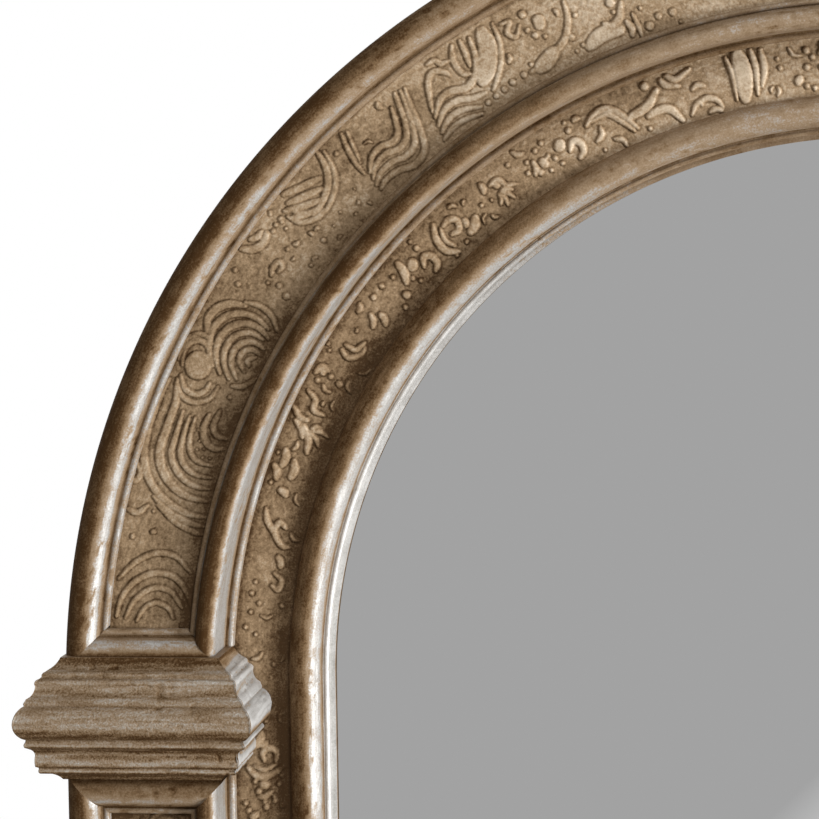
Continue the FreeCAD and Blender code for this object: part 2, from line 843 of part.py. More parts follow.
def make_fixings():
    clip = make_clip()
    screw = make_screw()
    seat = board_back - size["clip_thickness"]
    clips = []
    screws = []
    for places in clip_places().values():
        for x, z, turn in places:
            clips.append(copy_at(clip, x, zero, z, -math.degrees(turn)))
            screw_x, screw_z = clip_screw_place(x, z, turn)
            screws.append(copy_at(screw, screw_x, seat, screw_z))
    gather("retaining_clips", clips)
    gather("clip_screws", screws)
    strap_seat = board_back - size["strap_thickness"]
    screws = []
    for side in (-1, 1):
        for height in strap_screw_heights():
            screws.append(copy_at(screw, stile_centre * side, strap_seat, height))
    gather("hanger_screws", screws)


# Ring hangers: a strap curled round the bar of a ring, on the back of each stile

curl_inner = size["ring_wire_diameter"] / 2 + size["ring_play"]
curl_outer = curl_inner + size["strap_thickness"]
ring_depth = board_back - curl_outer
ring_reach = size["ring_corner"] + size["ring_leg"] + size["ring_width"] / 2
ring_height = size["ring_wire_diameter"] / 2 - ring_reach


def strap_screw_heights():
    first = ring_height - size["strap_screw_first"]
    return [first, first - size["strap_screw_pitch"]]


def make_hangers():
    cosine = math.cos(curl_turn)
    sine = math.sin(curl_turn)
    for side, name in sides:
        centre = stile_centre * side
        strap = new_body(f"hanger_strap_{name}")
        section = sketch_on(strap, "YZ_Plane", "Section", centre - size["strap_width"] / 2)
        end = ring_height - size["strap_length"]
        draw_outline(section, [
            (-board_back, end, 0),
            (-board_back, ring_height, curl_share),
            (-(ring_depth + curl_outer * cosine), ring_height + curl_outer * sine, 0),
            (-(ring_depth + curl_inner * cosine), ring_height + curl_inner * sine, -curl_share),
            (-(ring_depth + curl_inner), ring_height, 0),
            (-(ring_depth + curl_inner), end, 0),
        ])
        pad(strap, section, size["strap_width"])
        holes = sketch_on(strap, "XZ_Plane", "ScrewHoles", zero)
        for height in strap_screw_heights():
            draw_circle(holes, centre, height, size["screw_diameter"] / 2 + size["fit_clearance"])
        cut_through(strap, holes)

        ring = new_body(f"hanger_ring_{name}")
        half = size["ring_width"] / 2
        corner = size["ring_corner"]
        bend = ring_height - corner - size["ring_leg"]
        path = sketch_on(ring, "XZ_Plane", "Path", ring_depth)
        draw_outline(path, [
            (centre, ring_height, 0),
            (centre + half - corner, ring_height, quarter_circle_share),
            (centre + half, ring_height - corner, 0),
            (centre + half, bend, half_circle_share),
            (centre - half, bend, 0),
            (centre - half, ring_height - corner, quarter_circle_share),
            (centre - half + corner, ring_height, 0),
        ])
        wire = sketch_on(ring, "YZ_Plane", "Wire", centre)
        draw_circle(wire, -ring_depth, ring_height, size["ring_wire_diameter"] / 2)
        swept = ring.newObject("PartDesign::AdditivePipe", "Bent")
        swept.Profile = wire
        swept.Spine = path
        swept.Transition = "Round corner"


def make_bumpers():
    turn = quarter_turn * bumper_turn_share
    to_wall = FreeCAD.Rotation(FreeCAD.Vector(1, 0, 0), -90)
    low = foot + plinth_height / 2
    places = []
    for side in (-1, 1):
        places.append((stile_centre * side, low))
        across, height = on_arch(stile_centre, turn)
        places.append((across * side, height))
    pads = []
    for x, z in places:
        bumper = doc.addObject("Part::Cone", "Bumper")
        bumper.Placement = FreeCAD.Placement(FreeCAD.Vector(), to_wall)
        bumper.setExpression("Radius1", (size["bumper_diameter"] / 2).text)
        bumper.setExpression("Radius2", (size["bumper_diameter"] / 2 - size["bumper_taper"]).text)
        bumper.setExpression("Height", board_back.text)
        bumper.setExpression("Placement.Base.x", x.text)
        bumper.setExpression("Placement.Base.y", (-board_back).text)
        bumper.setExpression("Placement.Base.z", z.text)
        pads.append(bumper)
    gather("wall_bumpers", pads)


make_boards()
make_arch()
make_sight_frame()
make_pilasters()
make_blocks()
make_sill()
arched_sheet("mirror_pane", glass_back, size["glass_thickness"])
arched_sheet("backing_board", backing_back, size["backing_thickness"])
make_fixings()
make_hangers()
make_bumpers()
doc.recompute()

failed = [item.Label for item in doc.Objects if {"Invalid", "Error"} & set(item.State)]
if failed:
    raise RuntimeError(f"not built: {failed}")
for part in parts:
    if part.Shape.isNull() or not part.Shape.isValid():
        raise RuntimeError(f"bad shape: {part.Label}")
os.makedirs("parts", exist_ok=True)
for part in parts:
    part.Shape.exportStep(f"parts/{part.Label}.step")
print(f"{len(parts)} parts written")
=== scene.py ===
import math

import bpy
import numpy as np
from mathutils import Matrix, Vector


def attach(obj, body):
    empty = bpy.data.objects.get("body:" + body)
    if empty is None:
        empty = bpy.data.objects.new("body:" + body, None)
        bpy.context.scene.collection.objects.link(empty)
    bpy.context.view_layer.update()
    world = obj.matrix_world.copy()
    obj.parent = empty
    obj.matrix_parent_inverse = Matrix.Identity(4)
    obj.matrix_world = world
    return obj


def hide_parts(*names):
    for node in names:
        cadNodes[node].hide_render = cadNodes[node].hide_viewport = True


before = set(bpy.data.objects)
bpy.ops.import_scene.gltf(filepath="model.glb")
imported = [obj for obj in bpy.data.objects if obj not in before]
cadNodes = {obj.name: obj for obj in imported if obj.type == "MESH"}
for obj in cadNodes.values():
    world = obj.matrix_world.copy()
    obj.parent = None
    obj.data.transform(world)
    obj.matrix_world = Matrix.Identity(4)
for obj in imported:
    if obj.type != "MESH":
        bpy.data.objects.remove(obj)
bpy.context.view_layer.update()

mm = 0.001
sides = ((-1, "left"), (1, "right"))
quarterTurn = math.pi / 2
print("frame loaded,", len(cadNodes), "nodes")

# the frame's lines in millimetres, the same as in the solids
lines = {
    "spring": 70.0, "boardBack": 8.0, "boardFace": 26.0, "coreFace": 84.0, "friezeEdge": 343.0, "pilasterInner": 376.0,
    "panelInner": 397.0, "panelOuter": 445.0, "pilasterOuter": 469.0, "openingRadius": 330.0, "openingFoot": -811.0,
    "foot": -950.0, "plinthTop": -857.0, "friezeFoot": -824.0, "sillTop": -878.0, "capitalTop": 91.5,
    "capitalFoot": 20.0, "crossWidth": 14.5, "crossTrim": 9.5, "panelRollWidth": 23.0, "panelTrim": 1.0,
    "outerWidth": 24.0, "midWidth": 21.0, "bendInset": 12.0,
}
steps = {"roll": 2.0, "rollSection": 1.1, "block": 1.6, "blockSection": 1.2, "archBand": 0.58, "band": 0.9}

# sections as (way inwards, rise over the boards, round of the stretch that follows)
sections = {
    "outer": ((0, 0, 0), (0, 46.5, 0.4872), (19.5, 46.5, 0), (19.5, 46.1, 0), (20.5, 46.1, 0.34),
              (24, 45.5, 0), (24, 0, 0)),
    "mid": ((0, 0, 0), (0, 45.5, 0.42), (3.5, 45.5, 0), (4.5, 45.5, 0), (4.5, 50.25, 0.4792),
            (16.5, 50.25, 0), (16.5, 21.3, 0), (17.5, 21.3, 0.3), (21, 20.5, 0), (21, 0, 0)),
    "sight": ((0, 0, 0), (0, 17, 0.4444), (18, 17, 0), (18, 8.8, 0), (19, 8.8, 0.3), (22, 8, 0),
              (22, 4, 0), (25, 4, 0), (25, 0, 0)),
}

# capital and plinth from the top down: share of height, share of throw, round
# each block's hollow is how far down from its top the painted shadow fades out
blocks = {
    "capital": {
        "top": 91.5, "height": 71.5, "throw": 24.0, "innerBack": 44.0, "hollow": 8.0,
        "shares": ((0, 0, -0.1), (0.105, 0.34, 0), (0.12, 0.37, 0), (0.135, 0.37, 0), (0.15, 0.41, 0.3),
                   (0.203, 0.5, -0.1), (0.285, 0.6, 0), (0.3, 0.68, 0), (0.335, 0.735, 0), (0.352, 0.72, 0),
                   (0.362, 0.775, 0.24), (0.614, 0.775, 0), (0.63, 0.7, 0), (0.65, 0.715, 0.3),
                   (0.697, 0.69, 0), (0.705, 0.65, -0.16), (0.77, 0.53, 0.05), (0.86, 0.53, 0),
                   (0.87, 0.47, 0), (0.882, 0.46, 0.3), (0.925, 0.4, -0.12), (1, 0, 0)),
    },
    "plinth": {
        "top": -857.0, "height": 93.0, "throw": 22.0, "innerBack": 82.3, "hollow": 7.0,
        "shares": ((0, 0, -0.16), (0.08, 0.36, 0), (0.095, 0.4, 0.36), (0.16, 0.46, 0),
                   (0.17, 0.42, -0.16), (0.25, 0.62, 0), (0.265, 0.72, 0), (0.3, 0.74, 0.36),
                   (0.46, 0.78, 0), (0.47, 0.9, 0), (0.49, 1, 0), (1, 1, 0), (1, 0, 0)),
    },
}

latticeSize = (251, 257)


def smooth(share):
    return share * share * (3 - 2 * share)


def softStep(low, high, value):
    return smooth(np.clip((value - low) / (high - low), 0, 1))


def latticeNoise(u, v, cellU, cellV, seed):
    # smooth random values from 0 to 1 on a lattice of cells
    grid = np.random.default_rng(seed).random(latticeSize)
    a, b = np.asarray(u) / cellU, np.asarray(v) / cellV
    row, col = np.floor(a).astype(int), np.floor(b).astype(int)
    shareA, shareB = smooth(a - row), smooth(b - col)

    def corner(down, over):
        return grid[(row + down) % latticeSize[0], (col + over) % latticeSize[1]]

    low = corner(0, 0) * (1 - shareA) + corner(1, 0) * shareA
    high = corner(0, 1) * (1 - shareA) + corner(1, 1) * shareA
    return low * (1 - shareB) + high * shareB


def roundedLoop(corners, step):
    # closed outline with its rounded stretches and long straights divided
    points = []
    for k, (x, y, bulge) in enumerate(corners):
        p = np.array((x, y), float)
        q = np.array(corners[(k + 1) % len(corners)][:2], float)
        chord = np.hypot(*(q - p))
        if bulge == 0:
            count = max(1, int(round(chord / step / 2))) if 0 < k < len(corners) - 2 else 1
            points += [p + (q - p) * share for share in np.arange(count) / count]
            continue
        turn = 4 * math.atan(2 * abs(bulge))
        radius = chord / 2 / math.sin(turn / 2)
        normal = np.array((-(q - p)[1], (q - p)[0])) / chord * np.sign(bulge)
        centre = (p + q) / 2 - normal * radius * math.cos(turn / 2)
        start = math.atan2(*(p - centre)[::-1])
        count = max(6, int(math.ceil(radius * turn / step)))
        for share in np.arange(count) / count:
            angle = start - np.sign(bulge) * turn * share
            points.append(centre + radius * np.array((math.cos(angle), math.sin(angle))))
    return np.array(points)


def raisedShare(loop, rise):
    # how far each point of a section stands out of its neighbours, near and nearest, from 0 to 1
    path = np.concatenate(([0], np.cumsum(np.hypot(*np.diff(loop, axis=0).T))))
    relief = np.zeros(len(loop))
    for reach in wearAndPaintedLight["neighbours"]:
        near = np.abs(path[:, None] - path[None, :]) < reach
        floor = np.where(near, rise[None, :], np.inf).min(1)
        crest = np.where(near, rise[None, :], -np.inf).max(1)
        relief = np.maximum(relief, (rise - floor) / (crest - floor + wearAndPaintedLight["neighbourFloor"]))
    return np.clip(relief, 0, 1), path


def addPiece(name, points, quads, outlines, relief, uv, material, smoothAngle=40):
    # plain mesh piece from arrays, with single outlines for its ends
    mesh = bpy.data.meshes.new(name)
    corners = points[quads]
    edges = corners[:, 1:] - corners[:, :1]
    facing = np.cross(edges[:, 0], edges[:, 1]) + np.cross(edges[:, 1], edges[:, 2])
    loops = quads.ravel().tolist()
    starts = (np.arange(len(quads)) * 4).tolist()
    for outline in outlines:
        starts.append(len(loops))
        loops.extend(outline)
    mesh.vertices.add(len(points))
    mesh.vertices.foreach_set("co", (points * mm).astype(np.float32).ravel())
    mesh.loops.add(len(loops))
    mesh.loops.foreach_set("vertex_index", loops)
    mesh.polygons.add(len(starts))
    mesh.polygons.foreach_set("loop_start", starts)
    mesh.update(calc_edges=True)
    if np.einsum("ij,ij->", corners[:, 0], facing) < 0:  # inside out
        mesh.flip_normals()
    # relief holds the wear tone together with painted shade and painted highlight
    attribute = mesh.attributes.new("relief", "FLOAT", "POINT")
    attribute.data.foreach_set("value", relief.astype(np.float32).ravel())
    layer = mesh.uv_layers.new(name="grain")
    order = np.zeros(len(loops), np.int32)
    mesh.loops.foreach_get("vertex_index", order)
    layer.data.foreach_set("uv", (uv[order] * mm).astype(np.float32).ravel())
    smoothed(mesh, smoothAngle)
    mesh.validate()
    mesh.materials.append(material)
    return addObject(name, mesh)


def smoothed(mesh, sharpAngle):
    mesh.polygons.foreach_set("use_smooth", np.ones(len(mesh.polygons), bool))
    mesh.set_sharp_from_angle(angle=math.radians(sharpAngle))


def addObject(name, data):
    piece = bpy.data.objects.new(name, data)
    bpy.context.scene.collection.objects.link(piece)
    return piece


def dress(piece, node):
    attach(piece, "frame")
    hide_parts(node)


# wear of the mouldings and painted light: soft hand waviness, rubbed crests, painted shade on what faces outwards and
# in the grooves, painted highlights on the crests and lips at the legs
wearAndPaintedLight = {
    "wave": 0.4, "waveCell": (31.0, 12.0), "rub": 0.16, "nick": 0.3, "nickTone": 0.3, "proudGain": 1.4,
    "hollowLeast": 0.15, "neighbours": (2.2, 6), "neighbourFloor": 0.4,
    "patches": {"cell": (37, 15), "gain": 3, "less": 1.2}, "nicks": {"cell": (3.4, 1.9), "gain": 6, "less": 4.2},
    "roll": {"cell": (6.0, 2.2), "tone": 0.2, "rough": 1.0}, "block": {"cell": (19.0, 1.3), "tone": 0.6, "rough": 3.0},
    "paintedShade": {"outer": (0.95, -0.75, 0.08), "mid": (0.95, -0.95, -0.2), "sight": (0.85, -0.72, 0.1)},
    "bead": {"outer": (0, 20.6), "mid": (3.6, 17.6), "sight": (0, 18.5)}, "ragged": 0.12, "raggedCell": (4.5, 3.0),
    "darkBead": 0.42, "lip": {"outer": 0.8, "mid": 0.8, "sight": 1.0}, "lipHighlight": 0.2, "lipAhead": 150,
    "lipHighlightFade": (0.7, 0.3), "body": (0.8, 0.25), "grooveShade": (0.45, 3, 0.5), "outerSide": 6,
    "sideShade": (0.3, 11, 2), "sideWidth": 2.5,
    "crown": (0.7, 1.45), "crownHighlight": 0.64, "levelPaintedLight": 0.65, "highlightAhead": {"outer": 150, "mid": 110, "sight": 20},
    "shadeUnder": (0.9, 0.1, 0.6), "blockBody": (0.55, 0.45), "topShadow": (0.1, 0.9), "blockWax": 0.8, "returnHighlight": 1.4,
}


def spots(along, path, look, seed):
    return np.clip(latticeNoise(along, path, *look["cell"], seed) * look["gain"] - look["less"], 0, 1)


def worn(along, path, relief, seed, cell, tone, rough):
    # how far the surface is worn down, and its relief with the rubbed and nicked places
    wave = latticeNoise(along, path, *wearAndPaintedLight["waveCell"], seed) * wearAndPaintedLight["wave"]
    rub = latticeNoise(along, path, *cell, seed + 1)
    nick = spots(along, path, wearAndPaintedLight["nicks"], seed + 3) * spots(along, path, wearAndPaintedLight["patches"], seed + 2)
    proud = np.clip(relief * wearAndPaintedLight["proudGain"], wearAndPaintedLight["hollowLeast"], 1)
    lower = (wave + (rub * wearAndPaintedLight["rub"] + nick * wearAndPaintedLight["nick"]) * rough) * proud
    return lower, np.clip(relief + (rub - 0.5) * tone - nick * wearAndPaintedLight["nickTone"], 0, 1.5)


def stepsAlong(run, way, step):
    # run gives the start and end of each point of a section
    start, end = run(way)
    count = max(2, int(np.max(end - start) / step)) + 1
    return start[None, :] + (end - start)[None, :] * np.linspace(0, 1, count)[:, None]


def sweptPiece(name, points, reliefs, along, paths, finish):
    # a row of points for each step along, joined up and capped
    count, size = along.shape
    row = np.arange(count - 1)[:, None] * size
    col = np.arange(size)[None, :]
    following = (col + 1) % size
    quads = np.stack((row + col, row + following, row + size + following, row + size + col), -1)
    caps = np.arange(size)[::-1].tolist(), (np.arange(size) + (count - 1) * size).tolist()
    uv = np.stack((along, paths), -1).reshape(-1, 2)
    return addPiece(name, points.reshape(-1, 3), quads.reshape(-1, 4), caps, reliefs, uv, finish)


def mouldingPiece(name, section, run, place, seed, paintedLightAlong, shade=()):
    loop = roundedLoop(sections[section], steps["rollSection"])
    way, rise = loop.T
    along = stepsAlong(run, way, steps["roll"])
    relief, path = raisedShare(loop, rise)
    paths = np.broadcast_to(path, along.shape)
    front = rise > 1
    outerBead, innerBead = wearAndPaintedLight["bead"][section]
    lip = way > innerBead
    groove = rise[lip][0]
    base, gain = wearAndPaintedLight["body"]
    # painted shade in each groove floor and down the inner side of the roll into it
    dark, high, low = wearAndPaintedLight["grooveShade"]
    inGroove = softStep(groove + high, groove + low, rise) * (way > wearAndPaintedLight["outerSide"])
    relief = (base + gain * relief) * (1 - dark * inGroove)
    sideShadeDepth, high, low = wearAndPaintedLight["sideShade"]
    innerSide = way > innerBead - wearAndPaintedLight["sideWidth"]
    relief = relief * (1 - sideShadeDepth * softStep(groove + high, groove + low, rise) * innerSide)
    # painted shade: the cross rolls darken next to the capital or plinth, and the roll under the capital also on its
    # lower side
    light = np.prod([softStep(*pair, way) for pair in shade], axis=0)
    relief = np.where(lip, wearAndPaintedLight["lip"][section], relief * light)
    # painted shade on the outward side, ragged at its edge
    depth, low, high = wearAndPaintedLight["paintedShade"][section]
    ragged = (latticeNoise(along, paths, *wearAndPaintedLight["raggedCell"], seed + 4) - 0.5) * wearAndPaintedLight["ragged"]
    outward = softStep(low, high, np.gradient(rise, path)[None, :] + ragged) * (way < innerBead - 1)
    paintedStrength = paintedLightAlong(along)
    # painted highlight: the crests are brighter at the legs than at the crown, on top of the rubbed wax
    waxAndHighlight = wearAndPaintedLight["crownHighlight"] + (1 - wearAndPaintedLight["crownHighlight"]) * paintedLightAlong(along + wearAndPaintedLight["highlightAhead"][section])
    base, gain = wearAndPaintedLight["lipHighlightFade"]
    waxAndHighlight = waxAndHighlight * np.where(lip, base + gain * paintedStrength, 1)  # the painted highlight on the inner bead fades towards the crown
    reliefs = relief[None, :] * front * waxAndHighlight * (1 - depth * outward * paintedStrength)
    reliefs = np.maximum(reliefs, wearAndPaintedLight["darkBead"] * (way < outerBead) * front)
    # painted highlight on the sight roll's inner lip, strongest at the legs
    if section == "sight":
        reliefs = reliefs + wearAndPaintedLight["lipHighlight"] * lip * front * paintedLightAlong(along + wearAndPaintedLight["lipAhead"])
    lower, reliefs = worn(along, paths, reliefs, seed, **wearAndPaintedLight["roll"])
    points = place(along, np.broadcast_to(way, along.shape), rise - lower * front)
    return sweptPiece(name, points, reliefs, along, paths, rollFinish)


def uprightGlaze(along):
    return np.ones_like(along)


def levelPaintedLight(along):
    return np.full_like(along, wearAndPaintedLight["levelPaintedLight"])


def archGlaze(middle):
    # the painted shade and painted highlight fade out towards the crown
    return lambda along: 1 - softStep(*wearAndPaintedLight["crown"], along / middle)


def flatPlace(along, way, rise):
    # a straight length, bent round the arch afterwards
    return np.stack((along, way, rise), -1)


def uprightPlace(edge, side):
    return lambda along, way, rise: np.stack((side * (edge - way), -(lines["boardFace"] + rise), along), -1)


def levelPlace(edge, rising=1, side=1):
    return lambda along, way, rise: np.stack((side * along, -(lines["boardFace"] + rise), edge + way * rising), -1)


# finishes: dark glaze in the hollows, brown body, tan and pale wax rubbed on what stands proud; the relief they colour
# also carries painted shade and painted highlight
giltFinish = {
    "umber": (0.055, 0.026, 0.008), "brown": (0.150, 0.092, 0.046), "tan": (0.270, 0.194, 0.124),
    "pale": (0.345, 0.330, 0.310), "silver": (0.58, 0.57, 0.552), "brownFrom": 0.22, "tanFrom": 0.5, "paleFrom": 0.68,
    "reliefShare": 0.76, "streakShare": 0.12, "mottleShare": 0.2, "speckShare": 0.3, "streakScale": (28, 700, 1),
    "streakNoise": (1, 5, 0.65), "mottleNoise": (42, 6, 0.6), "speckNoise": (900, 3, 0.7), "polish": (0.15, 0.75),
    "rough": (0.75, 0.46), "specular": 0.08, "bump": 0.0003, "bumpStrength": 0.6, "bumpSpeck": 0.8,
    "leaf": (0.44, 0.74, 0.4),
}
blockFinish = dict(giltFinish, streakShare=0.22, speckShare=0.62, pale=(0.35, 0.31, 0.26), leaf=(0.44, 0.9, 0.35),
                   bump=0.0014, streakScale=(130, 430, 1), paleFrom=0.8)
embossFinish = dict(giltFinish, umber=(0.055, 0.028, 0.010), brown=(0.152, 0.097, 0.051), tan=(0.290, 0.200, 0.116),
                    pale=(0.470, 0.372, 0.265), silver=(0.56, 0.46, 0.34), reliefShare=0.9, streakShare=0.1,
                    mottleShare=0.3, speckShare=0.34, rough=(0.75, 0.5), specular=0.15, bump=0.0002,
                    leaf=(0.5, 1.0, 0.2), paleFrom=0.8)


def newMaterial(name):
    material = bpy.data.materials.new(name)
    material.use_nodes = True
    return material, material.node_tree, material.node_tree.nodes["Principled BSDF"]


def feed(tree, socket, value):
    if isinstance(value, bpy.types.NodeSocket):
        tree.links.new(value, socket)
    else:
        socket.default_value = value


def addNode(tree, kind, **inputs):
    node = tree.nodes.new(kind)
    for key, value in inputs.items():
        feed(tree, node.inputs[key.replace("_", " ")], value)
    return node


def feedInOrder(tree, kind, values, operation=None):
    node = tree.nodes.new(kind)
    if operation:
        node.operation = operation
    for socket, value in zip(node.inputs, values):
        feed(tree, socket, value)
    return node.outputs[0]


def mathNode(tree, operation, *values):
    return feedInOrder(tree, "ShaderNodeMath", values, operation)


def times(tree, first, second):
    return mathNode(tree, "MULTIPLY", first, second)


def plus(tree, first, second):
    return mathNode(tree, "ADD", first, second)


def vectorNode(tree, *parts):
    return feedInOrder(tree, "ShaderNodeCombineXYZ", parts)


def rampNode(tree, factor, stops):
    ramp = addNode(tree, "ShaderNodeValToRGB", Fac=factor)
    elements = ramp.color_ramp.elements
    while len(elements) < len(stops):
        elements.new(0.5)
    for element, (place, colour) in zip(elements, stops):
        element.position = place
        element.color = (*colour, 1)
    return ramp.outputs["Color"]


def rangeNode(tree, value, fromRange, toRange):
    return addNode(tree, "ShaderNodeMapRange", Value=value, From_Min=fromRange[0], From_Max=fromRange[1],
                   To_Min=toRange[0], To_Max=toRange[1]).outputs["Result"]


def noiseNode(tree, vector, scale, detail, rough):
    node = addNode(tree, "ShaderNodeTexNoise", Vector=vector, Scale=scale, Detail=detail, Roughness=rough)
    return node.outputs["Fac"]


def stretched(tree, vector, scale):
    return addNode(tree, "ShaderNodeMapping", Vector=vector, Scale=scale).outputs["Vector"]


def objectPlace(tree):
    return tree.nodes.new("ShaderNodeTexCoord").outputs["Object"]


def setBump(tree, shader, strength, distance, height):
    bump = addNode(tree, "ShaderNodeBump", Strength=strength, Distance=distance, Height=height)
    feed(tree, shader.inputs["Normal"], bump.outputs["Normal"])


def agedFinish(name, finish):
    material, tree, shader = newMaterial(name)
    relief = tree.nodes.new("ShaderNodeAttribute")
    relief.attribute_name = "relief"
    grain = tree.nodes.new("ShaderNodeUVMap")
    grain.uv_map = "grain"
    place = objectPlace(tree)
    streak = noiseNode(tree, stretched(tree, grain.outputs["UV"], finish["streakScale"]), *finish["streakNoise"])
    mottle = noiseNode(tree, place, *finish["mottleNoise"])
    speck = noiseNode(tree, place, *finish["speckNoise"])
    total = times(tree, relief.outputs["Fac"], finish["reliefShare"])
    for source, key in ((streak, "streakShare"), (mottle, "mottleShare"), (speck, "speckShare")):
        centred = mathNode(tree, "SUBTRACT", source, 0.5)
        total = plus(tree, total, times(tree, centred, finish[key] * 2))
    stops = ((0.0, finish["umber"]), (finish["brownFrom"], finish["brown"]), (finish["tanFrom"], finish["tan"]),
             (finish["paleFrom"], finish["pale"]), (1.0, finish["silver"]))
    feed(tree, shader.inputs["Base Color"], rampNode(tree, total, stops))
    feed(tree, shader.inputs["Roughness"], rangeNode(tree, total, finish["polish"], finish["rough"]))
    height = plus(tree, streak, times(tree, speck, finish["bumpSpeck"]))
    setBump(tree, shader, finish["bumpStrength"], finish["bump"], height)
    # leaf shows through and shines where the wax is rubbed
    *shown, most = finish["leaf"]
    feed(tree, shader.inputs["Metallic"], rangeNode(tree, total, shown, (0.0, most)))
    shader.inputs["Specular IOR Level"].default_value = finish["specular"]
    return material


rollFinish = agedFinish("rubbed_gilt_rolls", giltFinish)
capitalFinish = agedFinish("rubbed_gilt_blocks", blockFinish)
bandFinish = agedFinish("embossed_bands", embossFinish)
print("finishes made")


# geometry trees: named inputs first, realized and given their finish at the end
def newTree(name, sizes):
    tree = bpy.data.node_groups.new(name, "GeometryNodeTree")
    for way in ("OUTPUT", "INPUT"):
        tree.interface.new_socket("Geometry", in_out=way, socket_type="NodeSocketGeometry")
    for label in sizes:
        kind = {"Seed": "NodeSocketInt", "Finish": "NodeSocketMaterial"}.get(label, "NodeSocketFloat")
        tree.interface.new_socket(label, in_out="INPUT", socket_type=kind)
    return tree, tree.nodes.new("NodeGroupInput").outputs


def shapeNode(tree, kind, **inputs):
    return addNode(tree, f"GeometryNode{kind}", **inputs).outputs[0]


def splitPlace(tree):
    return addNode(tree, "ShaderNodeSeparateXYZ", Vector=shapeNode(tree, "InputPosition")).outputs


def endTree(tree, shape, given):
    whole = shapeNode(tree, "RealizeInstances", Geometry=shape)
    finished = shapeNode(tree, "SetMaterial", Geometry=whole, Material=given["Finish"])
    tree.links.new(finished, tree.nodes.new("NodeGroupOutput").inputs[0])
    return tree


def runTree(piece, tree, values):
    modifier = piece.modifiers.new("shape", "NODES")
    modifier.node_group = tree
    for socket in tree.interface.items_tree:
        if socket.in_out == "INPUT" and socket.name in values:
            modifier[socket.identifier] = values[socket.name]
    mesh = bpy.data.meshes.new_from_object(piece.evaluated_get(bpy.context.evaluated_depsgraph_get()))
    piece.modifiers.clear()
    piece.data = mesh


def archTree():
    # bends a straight length round the arch: along, way inwards and rise become the point
    tree, given = newTree("round_the_arch", ("Edge Radius", "Middle Radius", "Spring Height", "Board Face", "Side",
                                             "Finish"))
    along, way, rise = splitPlace(tree)
    radius = mathNode(tree, "SUBTRACT", given["Edge Radius"], way)
    turn = mathNode(tree, "DIVIDE", along, given["Middle Radius"])
    x = times(tree, times(tree, radius, mathNode(tree, "COSINE", turn)), given["Side"])
    y = times(tree, plus(tree, rise, given["Board Face"]), -1.0)
    z = plus(tree, times(tree, radius, mathNode(tree, "SINE", turn)), given["Spring Height"])
    bent = shapeNode(tree, "SetPosition", Geometry=given["Geometry"], Position=vectorNode(tree, x, y, z))
    turned = mathNode(tree, "LESS_THAN", given["Side"], 0.0)
    return endTree(tree, shapeNode(tree, "FlipFaces", Mesh=bent, Selection=turned), given)


roundTheArch = archTree()


def bendRadius(edge):
    return edge - lines["bendInset"]


def bendRound(piece, edge, side, finish):
    runTree(piece, roundTheArch, {
        "Edge Radius": edge * mm, "Middle Radius": bendRadius(edge) * mm, "Spring Height": lines["spring"] * mm,
        "Board Face": lines["boardFace"] * mm, "Side": float(side), "Finish": finish})


# rolls of the arch, the feet of the outer two mitred into the cross rolls
def archFoot(section, edge):
    spring, top, cross = lines["spring"], lines["capitalTop"], lines["crossWidth"]
    middle = bendRadius(edge)

    def run(way):
        radius = edge - way
        turn = np.zeros_like(radius)
        if section != "sight":
            if section == "outer":
                reach, unturn = lines["panelOuter"] + cross + top - spring, np.arcsin
            else:
                reach, unturn = lines["panelInner"] - cross - top + spring, np.arccos
            mitre = unturn(np.clip(reach / (radius * math.sqrt(2)), -1, 1)) - math.pi / 4
            turn = np.maximum(mitre, np.arcsin((top - spring) / radius))
        return turn * middle, np.full_like(radius, quarterTurn * middle)
    return run


archRolls = {"outer": ("outer_roll_arch", "pilasterOuter", 11), "mid": ("mid_roll_arch", "panelInner", 21),
             "sight": ("sight_roll_arch", "friezeEdge", 31)}
for section, (label, edgeName, seed) in archRolls.items():
    for side, name in sides:
        edge = lines[edgeName]
        roll = mouldingPiece(f"{label}_moulding_{name}", section, archFoot(section, edge), flatPlace,
                             seed + (side > 0) * 5, archGlaze(bendRadius(edge)))
        bendRound(roll, edge, side, rollFinish)
        dress(roll, label if section == "sight" else f"{label}_{name}")
print("arch rolls made")


# upright and cross rolls
def mitred(lowEdge, highEdge, lowSlope=0, highSlope=0):
    return lambda way: (lowEdge + way * lowSlope, highEdge + way * highSlope)


def panelMitre(cornerWay, outward):
    # an upright roll between two cross rolls: its panel side is cut back at 45 degrees
    def run(way):
        into = np.clip((way - cornerWay) * outward + lines["panelRollWidth"], 0, None)
        return lines["plinthTop"] + into, lines["capitalFoot"] - into
    return run


def crossRun(trim):
    # a cross roll, cut back at 45 degrees where the upright rolls meet it
    def run(way):
        into = lines["outerWidth"] - np.maximum(way, trim)
        return lines["panelInner"] - np.minimum(into, lines["midWidth"]), lines["panelOuter"] + into
    return run


def trimmedPlace(level, rising, side, trim):
    place = levelPlace(level - trim * rising, rising, side)
    return lambda along, way, rise: place(along, np.maximum(way, trim), rise)


